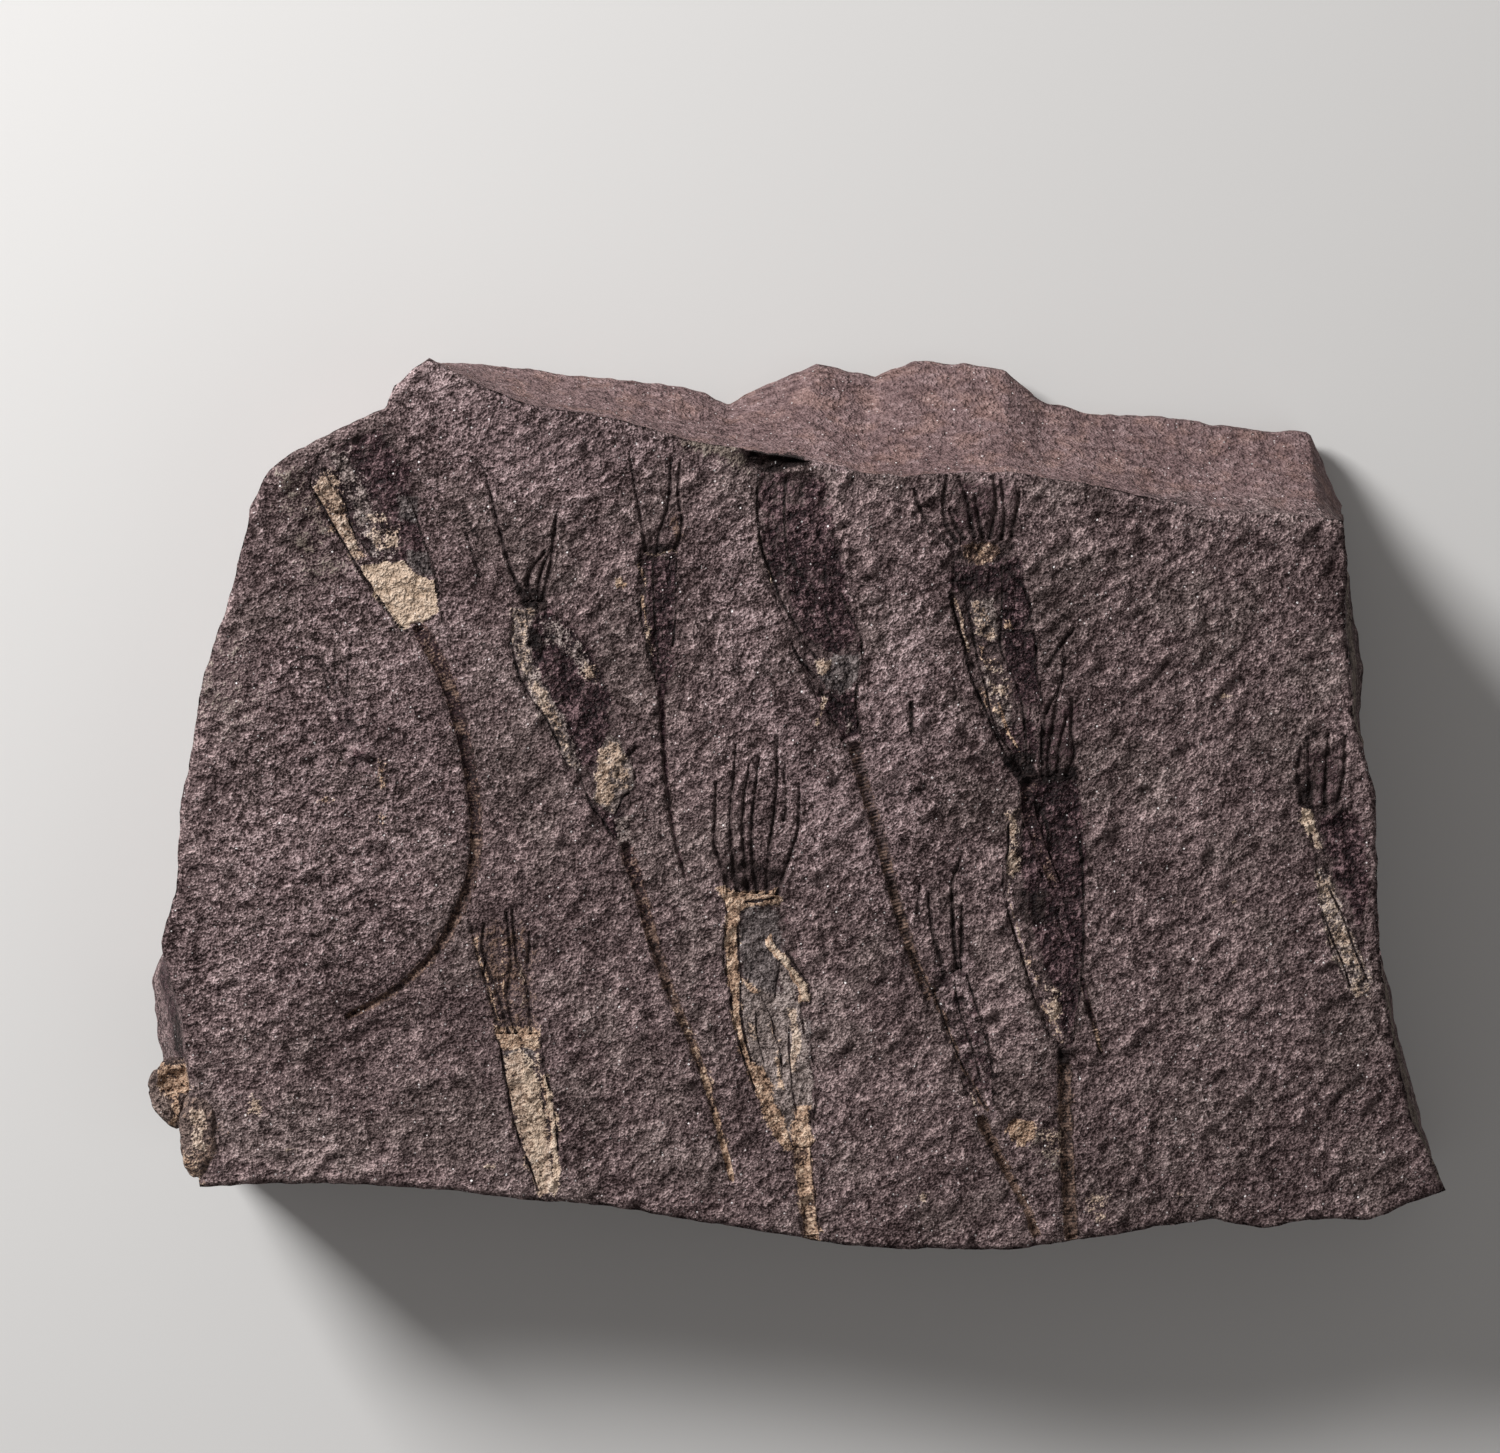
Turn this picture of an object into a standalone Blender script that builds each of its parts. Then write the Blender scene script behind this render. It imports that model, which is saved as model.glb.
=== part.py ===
"""Slab of purple micaceous sandstone with crinoids in it, lying on its back.

The animals' skeletons dissolved long ago. Each crinoid is a shallow mould in the bedding plane with a
thin mineral lining: a crown (cup and arms in one piece) and a stem that runs down from its point.
X runs along the slab, Y towards its pink broken top side, Z out of the fossil face.
Outlines are in millimetres, measured on the fossil face; MM turns them into metres.
"""

import math

import bmesh
import bpy
import numpy as np
from mathutils import Vector

MM = 0.001
GAP = 0.3                # between a lining and the rock
THICKNESS = 36.0         # from the flat back to the fossil face
CLEARANCE = 6.0          # how far cutters stand out of the face
TOP_STEP = 0.1           # between the tops of cutters that cross, so that no two faces coincide
LUMP_SPACING = 7.5       # of the lumps on the fossil face
LUMP_HEIGHT = 0.7
WAVE_HEIGHT = 0.25       # of the bedding plane's slow waves
WAVE_LENGTHS = (145.0, 120.0)
PLATE_HALF_SIZES = (126.0, 90.0)
LEDGE_DEPTH = 1.1        # roughness of the broken sides
LEDGE_SPREAD = (-1.0, 0.35)  # of a ledge, as shares of LEDGE_DEPTH: mostly inwards
BACK_CHIP = 3.0          # how far the back's edge is chipped away
HOLLOWED = 1.35          # above 1 the broken top side is concave
SMOOTH_ANGLE = 50.0      # edges bent by less than this are shaded smooth
SEED = 11

FILM = 0.7               # thickness of a cup's lining
FILM_SUNK = 0.6          # of a lining's rim below the face
FAINT_RAISED = {10: 0.15}  # the faint crown's mould is shallower by this
CUP_POINTS = 5           # across a cup
CUP_ROUNDNESS = 0.6      # below 1 a cup's hollow is boxy along its length, above 1 pointed
ARM_SUNK = 0.45
ARM_DEPTH = 0.75
ARM_WIDTHS = (0.7, 1.3)  # at the tip and at the root
STEM_SUNK = 0.5
STEM_HOLLOW = 0.35       # depth of a stem's channel, as a share of its half width
STEM_DEPTH = 0.75        # of its underside, likewise
STEM_BED = (0.6, 0.7)    # half width of the underside of a stem and of its mould, likewise

# The edge of the fossil face (x, y) and, behind each of its points, the edge of the back (x, y).
OUTLINE = (
    # left side, going up
    (-103.0, -66.5, -103.0, -64.0), (-104.5, -60.0, -107.0, -59.5), (-105.0, -52.0, -110.0, -52.5),
    (-105.0, -45.0, -113.0, -47.0), (-106.5, -36.0, -114.5, -37.5), (-108.5, -29.0, -115.0, -31.5),
    (-109.8, -24.5, -112.0, -26.0), (-107.3, -15.0, -109.5, -16.0), (-107.0, -8.0, -109.0, -8.0),
    (-106.3, 0.0, -108.0, 0.0), (-104.3, 10.0, -106.0, 10.0), (-103.0, 20.0, -104.5, 20.5),
    (-100.3, 29.0, -102.0, 30.0), (-98.5, 33.5, -100.5, 34.5), (-96.3, 42.0, -98.5, 43.0),
    (-94.0, 51.5, -96.0, 52.5), (-91.5, 57.0, -93.5, 58.0), (-88.0, 60.0, -89.5, 61.5),
    (-82.0, 63.0, -83.5, 64.5), (-76.0, 66.0, -77.5, 67.5), (-71.0, 68.0, -72.5, 69.5),
    (-69.5, 72.0, -70.5, 73.0), (-66.0, 75.0, -66.5, 76.5), (-63.5, 76.5, -61.5, 78.3),
    # the ridge between the face and the broken top side, going right
    (-54.7, 72.0, -53.0, 77.7), (-46.0, 68.5, -45.5, 77.1), (-38.0, 67.3, -37.5, 76.2),
    (-30.6, 66.0, -28.5, 75.2), (-18.5, 62.5, -18.5, 74.0), (-11.0, 61.3, -12.0, 71.2),
    (-4.0, 60.2, -5.0, 74.6), (2.0, 59.0, 3.4, 78.3), (10.0, 57.3, 13.8, 76.0),
    (18.0, 56.2, 21.0, 79.0), (28.0, 57.0, 29.5, 78.6), (36.6, 57.0, 37.0, 77.0),
    (43.5, 55.8, 44.0, 71.6), (52.0, 54.7, 54.2, 69.5), (61.0, 52.5, 63.0, 68.9),
    (72.0, 50.4, 73.0, 67.9), (83.0, 50.0, 83.0, 66.4), (90.0, 49.3, 91.5, 66.3),
    (94.0, 48.6, 97.0, 53.0),
    # right side, going down
    (95.0, 41.0, 98.0, 42.0), (94.5, 30.0, 100.0, 30.5), (95.5, 22.0, 101.3, 24.0),
    (96.0, 15.0, 100.3, 15.5), (98.0, 8.0, 101.0, 8.0), (99.8, 1.5, 102.0, 1.0),
    (100.0, -8.0, 102.5, -9.0), (100.2, -22.0, 103.0, -23.0), (101.0, -30.0, 105.3, -31.5),
    (103.0, -42.0, 108.0, -44.0), (106.0, -55.0, 111.5, -57.0), (110.5, -63.5, 113.5, -64.5),
    (112.0, -67.0, 112.0, -66.0),
    # the lower edge, going left
    (105.0, -69.5, 105.0, -67.0), (99.0, -72.0, 99.0, -70.0), (88.0, -72.0, 88.0, -70.0),
    (80.0, -73.5, 80.0, -70.5), (72.0, -71.8, 72.0, -70.5), (60.0, -73.5, 60.0, -71.0),
    (46.0, -76.0, 46.0, -73.0), (36.0, -77.2, 36.0, -73.5), (20.0, -77.0, 20.0, -74.5),
    (8.0, -76.5, 8.0, -74.0), (-3.0, -74.5, -3.0, -72.5), (-14.0, -72.8, -14.0, -70.0),
    (-25.0, -71.0, -25.0, -69.0), (-34.0, -69.4, -34.0, -67.5), (-48.0, -68.5, -48.0, -65.5),
    (-60.0, -67.0, -60.0, -65.5), (-76.0, -65.8, -76.0, -63.5), (-90.0, -65.7, -90.0, -63.5),
)
CONCAVE = range(24, 42)  # places in OUTLINE of the hollowed top side

# Height of each ring of the side, how far it has gone from the face's edge to the back's, and its roughness.
SIDE_RINGS = ((44.0, 0.0, 0.0), (34.5, 0.0, 0.0), (29.0, 0.18, 0.6), (22.0, 0.40, 1.0),
              (14.0, 0.68, 1.0), (5.0, 1.0, 0.4), (0.0, 1.0, 0.0))

# Each cup: its hollow's depth, then its left edge (x, y) and right edge (x, y) at places from the arms
# down to the stem.
CUPS = {
    1: (1.1,
        (-81.5, 60.5, -69.5, 65.0), (-83.0, 54.5, -67.0, 55.0), (-78.5, 45.5, -64.0, 46.0),
        (-73.3, 37.0, -62.2, 38.0), (-69.7, 31.8, -62.0, 33.3), (-67.0, 29.8, -64.2, 30.4)),
    2: (1.1,
        (-49.0, 34.5, -43.0, 34.5), (-49.5, 28.0, -37.5, 28.5), (-47.3, 20.0, -33.3, 21.5),
        (-43.5, 13.5, -31.0, 14.5), (-39.8, 6.5, -28.3, 7.0), (-35.5, -1.0, -28.9, 0.5),
        (-31.7, -6.5, -29.2, -6.0)),
    3: (0.7,
        (-27.0, 42.3, -20.7, 42.3), (-27.0, 33.0, -21.0, 33.0), (-25.7, 26.0, -21.3, 26.0),
        (-24.6, 20.8, -22.4, 20.5)),
    4: (1.1,
        (-7.0, 57.3, 4.5, 56.3), (-6.5, 46.0, 7.0, 46.0), (-4.0, 36.0, 9.5, 36.5),
        (-1.0, 27.5, 11.0, 29.0), (2.5, 19.5, 10.8, 20.5), (7.6, 11.0, 10.8, 11.0)),
    5: (1.2,
        (26.5, 41.5, 38.5, 41.5), (26.8, 34.0, 40.2, 34.5), (28.5, 27.0, 41.0, 27.5),
        (30.8, 18.5, 41.8, 20.0), (34.3, 10.5, 41.7, 11.5), (38.6, 4.8, 41.2, 5.0)),
    6: (1.2,
        (37.0, -2.5, 48.3, 4.0), (35.6, -10.5, 49.2, -7.5), (36.3, -19.0, 49.5, -18.0),
        (39.2, -28.5, 49.0, -28.0), (42.0, -37.0, 48.3, -36.0), (44.9, -42.5, 47.3, -42.2)),
    7: (0.6,
        (23.5, -29.5, 29.0, -29.0), (24.5, -36.5, 31.3, -36.0), (27.3, -45.0, 33.2, -44.5),
        (30.6, -52.5, 33.3, -52.8)),
    8: (1.3,
        (-12.7, -15.5, -3.3, -16.5), (-12.2, -22.0, -1.3, -22.0), (-12.0, -30.0, 1.7, -31.5),
        (-10.7, -38.0, 1.5, -38.5), (-8.5, -46.5, 2.7, -47.0), (-4.8, -54.8, 3.0, -54.5),
        (-1.8, -59.0, 2.7, -58.8)),
    9: (1.0,
        (-51.8, -40.0, -44.4, -40.0), (-50.3, -48.0, -43.3, -47.5), (-49.0, -55.0, -41.5, -55.5),
        (-46.7, -61.5, -41.1, -61.5), (-44.6, -67.2, -41.8, -67.2)),
    10: (0.4,
        (-81.3, 18.0, -77.7, 18.0), (-79.8, 12.5, -75.7, 13.0), (-77.0, 5.5, -74.3, 6.0)),
    11: (0.8,
        (87.0, -0.5, 94.0, -0.3), (88.7, -7.5, 97.3, -6.5), (90.2, -15.0, 98.0, -15.0),
        (91.8, -24.0, 98.3, -24.0), (95.3, -32.3, 98.8, -31.5)),
}

# Each crown's arms, from the tip down to where it is rooted in the cup.
ARMS = {
    2: (((-56.0, 59.5), (-53.0, 53.5), (-50.5, 43.5), (-46.7, 33.0)),
        ((-43.6, 43.2), (-46.2, 39.0), (-45.6, 33.0)),
        ((-41.5, 50.0), (-42.3, 42.0), (-44.4, 33.0)),
        ((-57.0, 46.0), (-55.5, 41.0), (-52.0, 36.5), (-48.0, 33.2))),
    3: (((-29.0, 60.5), (-28.0, 54.0), (-26.3, 45.0), (-26.0, 41.0)),
        ((-21.8, 59.0), (-23.3, 49.5), (-23.8, 41.0)),
        ((-19.8, 58.0), (-20.5, 50.0), (-21.6, 41.0))),
    5: (((21.0, 52.0), (23.5, 47.5), (28.0, 40.3)),
        ((25.6, 56.0), (25.4, 51.0), (29.6, 40.0)),
        ((27.9, 56.0), (29.5, 50.0), (31.2, 40.0)),
        ((31.0, 53.0), (31.4, 48.0), (32.7, 40.0)),
        ((33.8, 56.0), (34.1, 50.0), (34.3, 40.0)),
        ((35.4, 55.5), (35.8, 49.0), (35.8, 40.0)),
        ((38.2, 54.0), (37.9, 49.0), (37.3, 40.0))),
    6: (((47.8, 30.0), (44.6, 26.0), (43.5, 15.0), (43.8, -0.5)),
        ((46.3, 24.5), (45.2, 17.5), (45.0, 1.0)),
        ((47.6, 17.5), (47.6, 9.0), (46.4, 1.8)),
        ((49.0, 12.0), (48.7, 7.0), (47.4, 2.5))),
    7: (((22.5, -15.5), (23.5, -22.5), (25.0, -30.3)),
        ((28.2, -9.5), (26.7, -17.0), (26.6, -30.3)),
        ((28.4, -18.0), (28.2, -24.0), (27.9, -30.3))),
    8: (((-14.3, 1.0), (-14.2, -6.0), (-11.9, -17.0)),
        ((-10.7, 6.0), (-11.5, -2.0), (-10.3, -17.3)),
        ((-8.2, 5.5), (-9.5, -4.0), (-8.9, -17.5)),
        ((-5.6, 9.0), (-7.7, -4.0), (-7.4, -17.7)),
        ((-2.9, 8.0), (-4.4, -5.0), (-5.9, -17.9)),
        ((-0.9, 4.0), (-2.6, -7.0), (-4.4, -18.0))),
    9: (((-56.3, -22.0), (-53.6, -31.5), (-50.6, -41.5)),
        ((-54.0, -21.0), (-52.0, -31.0), (-49.0, -41.5)),
        ((-50.0, -19.0), (-49.6, -29.0), (-47.6, -41.5)),
        ((-48.8, -21.0), (-46.4, -31.5), (-45.7, -41.5))),
    10: (((-87.0, 25.0), (-84.0, 21.5), (-80.6, 17.2)),
         ((-81.0, 25.0), (-80.2, 21.0), (-79.4, 17.0)),
         ((-76.8, 28.5), (-77.6, 22.0), (-78.3, 17.0))),
    11: (((86.8, 9.5), (87.0, 4.0), (88.2, -1.8)),
         ((88.9, 11.0), (88.8, 5.0), (89.6, -1.8)),
         ((91.5, 11.8), (91.2, 5.0), (91.2, -1.8)),
         ((94.3, 11.0), (94.2, 5.0), (92.9, -1.8))),
}

# Each stem: its width at the crown and at its end, and its course.
STEMS = {
    1: (2.2, 1.0, (-64.9, 28.4), (-62.4, 25.0), (-60.0, 19.5), (-57.6, 11.0), (-56.3, 4.0), (-55.5, -4.5),
        (-56.2, -12.5), (-58.8, -19.5), (-63.0, -26.5), (-69.5, -32.5), (-77.5, -37.0)),
    2: (1.9, 0.6, (-29.7, -8.0), (-27.4, -14.5), (-25.3, -22.5), (-22.3, -31.5), (-17.0, -44.5),
        (-14.0, -54.5), (-11.3, -65.0)),
    3: (1.0, 0.5, (-23.5, 18.9), (-23.1, 11.0), (-22.2, 0.5), (-20.9, -7.0), (-19.3, -13.0)),
    4: (2.0, 1.1, (9.9, 9.4), (11.5, 3.0), (14.0, -5.0), (16.2, -14.0), (19.7, -26.0), (22.6, -33.5)),
    5: (1.8, 1.4, (39.8, 3.2), (39.7, -1.0), (41.3, -6.5), (44.2, -14.0)),
    6: (2.3, 2.3, (46.0, -44.2), (46.1, -50.0), (46.3, -58.0), (46.8, -67.0), (47.2, -74.0)),
    7: (1.3, 1.0, (31.6, -54.8), (34.0, -59.5), (36.9, -65.0), (39.5, -70.0), (41.2, -74.5)),
    8: (2.6, 2.2, (0.8, -60.6), (1.2, -64.0), (2.0, -69.5), (2.8, -74.0)),
}
LOOSE_STEM = (0.7, 0.6, (49.2, -30.8), (50.2, -35.0), (51.4, -39.0), (52.3, -43.0))

# The two rusty nodules at the lower left corner: centre, half sizes.
NODULES = {
    "nodule_side": ((-107.8, -51.0, 25.5), (4.9, 6.2, 6.5)),
    "nodule_corner": ((-103.2, -57.5, 32.6), (3.6, 7.0, 4.4)),
}
NODULE_LUMPS = 0.10      # share of its size by which a nodule's surface wanders


def middle(values):
    return (min(values) + max(values)) / 2


FACE_EDGE = [Vector(place[:2]) for place in OUTLINE]
BACK_EDGE = [Vector(place[2:]) for place in OUTLINE]
CENTRE = Vector((middle([point.x for point in FACE_EDGE + BACK_EDGE]),
                 middle([point.y for point in FACE_EDGE + BACK_EDGE]), 0.0))


def place(x, y, z):
    """A point in metres, from millimetres on the slab."""
    return (Vector((x, y, z)) - CENTRE) * MM


def clear_scene():
    for item in list(bpy.data.objects):
        bpy.data.objects.remove(item, do_unlink=True)


def material(name, colour, roughness):
    made = bpy.data.materials.new(name)
    made.use_nodes = True
    shader = made.node_tree.nodes["Principled BSDF"]
    shader.inputs["Base Color"].default_value = (*colour, 1.0)
    shader.inputs["Roughness"].default_value = roughness
    shader.inputs["Metallic"].default_value = 0.0
    return made


def object_from(name, mesh_builder, finish, collection=None):
    """A mesh object from a filled bmesh, with its faces turned outwards."""
    bmesh.ops.recalc_face_normals(mesh_builder, faces=mesh_builder.faces)
    if mesh_builder.calc_volume(signed=True) < 0:
        bmesh.ops.reverse_faces(mesh_builder, faces=mesh_builder.faces)
    mesh = bpy.data.meshes.new(name)
    mesh_builder.to_mesh(mesh)
    mesh_builder.free()
    made = bpy.data.objects.new(name, mesh)
    (collection or bpy.context.scene.collection).objects.link(made)
    if finish:
        mesh.materials.append(finish)
    return made


def loft(name, rings, finish=None, collection=None):
    """One closed solid through rings with the same number of points, with a cap on each end."""
    builder = bmesh.new()
    corners = [[builder.verts.new(place(*point)) for point in ring] for ring in rings]
    for ring, following in zip(corners, corners[1:]):
        for i, corner in enumerate(ring):
            j = (i + 1) % len(ring)
            builder.faces.new((corner, ring[j], following[j], following[i]))
    builder.faces.new(reversed(corners[0]))
    builder.faces.new(corners[-1])
    bmesh.ops.triangulate(builder, faces=builder.faces)
    return object_from(name, builder, finish, collection)


def shade_smooth(made):
    made.data.shade_smooth()
    made.data.set_sharp_from_angle(angle=math.radians(SMOOTH_ANGLE))


def hide_cutter(cutter):
    cutter.hide_render = True
    cutter.display_type = "WIRE"


def helper_collection(name):
    made = bpy.data.collections.new(name)
    bpy.context.scene.collection.children.link(made)
    return made


def combine(target, operation, other):
    """A live Boolean with one object, or with every object of a collection."""
    modifier = target.modifiers.new(operation.lower(), "BOOLEAN")
    modifier.operation = operation
    modifier.solver = "EXACT"
    if isinstance(other, bpy.types.Collection):
        modifier.operand_type = "COLLECTION"
        modifier.collection = other
    else:
        modifier.object = other


def outward(i):
    """The direction out of the slab at one place of its outline, in the plane of the face."""
    along = (FACE_EDGE[(i + 1) % len(FACE_EDGE)] - FACE_EDGE[i - 1]).normalized()
    return Vector((-along.y, along.x))


def side_ring(height, share, roughness, chip, chance):
    """One closed ring of the slab's side."""
    ring = []
    for i, (face, back) in enumerate(zip(FACE_EDGE, BACK_EDGE)):
        bend = HOLLOWED if i in CONCAVE else 1.0
        point = face.lerp(back, share**bend)
        point += outward(i) * (roughness * LEDGE_DEPTH * chance.uniform(*LEDGE_SPREAD) - chip)
        ring.append((point.x, point.y, height))
    return ring


def slab_block(finish):
    chance = np.random.RandomState(SEED)
    rings = []
    for height, share, roughness in SIDE_RINGS:
        chip = BACK_CHIP * chance.uniform(0.8, 1.2) if height == 0.0 else 0.0
        rings.append(side_ring(height, share, roughness, chip, chance))
    return loft("slab", rings, finish)


def lumpy_plate(helpers):
    """A plate whose upper side is the hammered bedding plane, to trim the block with."""
    chance = np.random.RandomState(SEED + 1)
    half_x, half_y = PLATE_HALF_SIZES
    counts = [int(2 * half / LUMP_SPACING) for half in PLATE_HALF_SIZES]
    builder = bmesh.new()
    bmesh.ops.create_grid(builder, x_segments=counts[0], y_segments=counts[1], size=1.0)
    for corner in builder.verts:
        x, y = corner.co.x * half_x, corner.co.y * half_y
        turns = [2 * math.pi * value / length for value, length in zip((x, y), WAVE_LENGTHS)]
        wave = WAVE_HEIGHT * math.sin(turns[0]) * math.cos(turns[1])
        lump = LUMP_HEIGHT * chance.uniform(-0.5, 0.5)
        corner.co = place(x, y, THICKNESS + wave + lump)
    extruded = bmesh.ops.extrude_face_region(builder, geom=builder.faces)
    for item in extruded["geom"]:
        if isinstance(item, bmesh.types.BMVert):
            item.co.z = -CLEARANCE * MM
    plate = object_from("lumpy_plate", builder, None, helpers)
    hide_cutter(plate)
    return plate


def cup_rings(number, grow, top):
    """Rings across a cup. grow widens it all round; top, if given, flattens its upper side up there."""
    depth, *stations = CUPS[number]
    sunk = FILM_SUNK - FAINT_RAISED.get(number, 0.0)
    last = len(stations) - 1
    lengthwise = (Vector(stations[-1][:2]) - Vector(stations[0][2:])).normalized() * grow
    shifts = [-lengthwise] + [Vector((0.0, 0.0))] * (last - 1) + [lengthwise]
    rings = []
    for i, (edges, shift) in enumerate(zip(stations, shifts)):
        left, right = Vector(edges[:2]), Vector(edges[2:])
        across = (right - left).normalized() * grow
        hollow = depth * max(math.sin(math.pi * i / last), 0.0) ** CUP_ROUNDNESS
        upper, lower = [], []
        for k in range(CUP_POINTS):
            t = k / (CUP_POINTS - 1)
            point = (left - across).lerp(right + across, t) + shift
            height = THICKNESS - sunk - hollow * (1 - (2 * t - 1) ** 2)
            upper.append((point.x, point.y, height if top is None else top))
            lower.append((point.x, point.y, height - FILM - grow))
        rings.append(upper + lower[::-1])
    return rings


def sideways(path, i):
    """Unit vector to the left of a path at its point i."""
    before = Vector(path[max(i - 1, 0)])
    after = Vector(path[min(i + 1, len(path) - 1)])
    along = (after - before).normalized()
    return Vector((-along.y, along.x)), along


def strip_rings(path, widths, grow, section):
    """Rings along a path. section gives each ring's points as (share of half width, height)."""
    rings = []
    last = len(path) - 1
    for i, point in enumerate(path):
        side, along = sideways(path, i)
        ends = -grow if i == 0 else grow if i == last else 0.0
        centre = Vector(point) + along * ends
        half = (widths[0] + (widths[1] - widths[0]) * i / last) / 2 + grow
        ring = []
        for share, height in section(half):
            spot = centre + side * half * share
            ring.append((spot.x, spot.y, height))
        rings.append(ring)
    return rings


def arm_section(grow, top):
    """A wedge, flat above and pointed below, as an arm's groove is."""
    rim = THICKNESS - ARM_SUNK
    point = (0.0, rim - ARM_DEPTH - 1.5 * grow)
    if top is None:
        return lambda half: ((-1.0, rim), (1.0, rim), point)
    return lambda half: ((-1.0, top), (1.0, top), (1.0, rim - grow), point, (-1.0, rim - grow))


def stem_section(grow, top):
    """A channel, as half a hollow stem's wall is: hollowed above, rounded below."""
    rim = THICKNESS - STEM_SUNK

    def points(half):
        under = rim - STEM_DEPTH * half - grow
        if top is None:
            bed = STEM_BED[0]
            return ((-1.0, rim), (0.0, rim - STEM_HOLLOW * half), (1.0, rim), (bed, under), (-bed, under))
        bed = STEM_BED[1]
        return ((-1.0, top), (1.0, top), (1.0, rim - grow), (bed, under), (-bed, under), (-1.0, rim - grow))

    return points


def crown(number, finish):
    """A cup's lining with its arms, in one solid."""
    made = loft(f"crinoid_{number}_crown", cup_rings(number, 0.0, None), finish)
    if number in ARMS:
        arms = helper_collection(f"arms_{number}")
        for k, path in enumerate(ARMS[number]):
            rings = strip_rings(path, ARM_WIDTHS, 0.0, arm_section(0.0, None))
            hide_cutter(loft(f"arm_{number}_{k}", rings, None, arms))
        combine(made, "UNION", arms)
    shade_smooth(made)
    return made


def crown_cutters(number, cutters):
    """The mould that a crown lies in."""
    top = THICKNESS + CLEARANCE
    hide_cutter(loft(f"cup_mould_{number}", cup_rings(number, GAP, top), None, cutters))
    for k, path in enumerate(ARMS.get(number, ()), start=1):
        rings = strip_rings(path, ARM_WIDTHS, GAP, arm_section(GAP, top + k * TOP_STEP))
        hide_cutter(loft(f"arm_mould_{number}_{k}", rings, None, cutters))


def stem(name, course, finish):
    wide, narrow, *path = course
    made = loft(name, strip_rings(path, (wide, narrow), 0.0, stem_section(0.0, None)), finish)
    shade_smooth(made)
    return made


def stem_cutter(name, course, cutters):
    wide, narrow, *path = course
    top = THICKNESS + CLEARANCE - TOP_STEP
    rings = strip_rings(path, (wide, narrow), GAP, stem_section(GAP, top))
    made = loft(name + "_mould", rings, None, cutters)
    hide_cutter(made)
    return made


def nodule(name, title, grow, finish=None, collection=None):
    """A rounded, uneven lump."""
    centre, sizes = NODULES[name]
    chance = np.random.RandomState(SEED + len(name))
    builder = bmesh.new()
    bmesh.ops.create_icosphere(builder, subdivisions=2, radius=1.0)
    for corner in builder.verts:
        uneven = 1.0 + NODULE_LUMPS * chance.uniform(-1.0, 1.0)
        spread = [corner.co[axis] * (sizes[axis] * uneven + grow) for axis in range(3)]
        corner.co = place(*(Vector(centre) + Vector(spread)))
    return object_from(title, builder, finish, collection)


def main():
    clear_scene()
    rock = material("purple_sandstone", (0.17, 0.115, 0.112), 0.85)
    dark_film = material("dark_film", (0.055, 0.036, 0.040), 0.6)
    pale_film = material("pale_clay_film", (0.30, 0.22, 0.15), 0.8)
    brown_film = material("brown_film", (0.115, 0.070, 0.048), 0.75)
    rust = material("rusty_nodule", (0.26, 0.165, 0.11), 0.85)
    helpers = helper_collection("helpers")
    cutters = helper_collection("moulds")

    slab = slab_block(rock)
    combine(slab, "INTERSECT", lumpy_plate(helpers))
    for name in NODULES:
        shade_smooth(nodule(name, name, 0.0, rust))
        hide_cutter(nodule(name, name + "_pocket", GAP, None, cutters))
    for number in CUPS:
        made = crown(number, pale_film if number in (8, 9) else dark_film)
        crown_cutters(number, cutters)
        if number == 6:
            crossing = stem_cutter("crossing_stem", STEMS[5], helpers)
            combine(made, "DIFFERENCE", crossing)
    for number, course in STEMS.items():
        stem(f"crinoid_{number}_stem", course, brown_film)
        stem_cutter(f"crinoid_{number}_stem", course, cutters)
    stem("loose_stem_piece", LOOSE_STEM, brown_film)
    stem_cutter("loose_stem_piece", LOOSE_STEM, cutters)
    combine(slab, "DIFFERENCE", cutters)


main()
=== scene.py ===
# %% [markdown]
# # A slab of sea lilies
# Sea lilies (crinoids) are animals that stood on the sea floor on a stem of small stacked discs, with a
# cup on top and arms that caught food. A flood of sand buried this group. The skeletons dissolved later,
# and each animal is now a shallow hollow in purple sandstone, lined with a thin film of minerals.
#
# The fixed frame holds the solid parts at their real size. This file gives them their looks, and every
# piece here stands where its solid stands.

# %% Load the frame
import itertools
import math

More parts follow.
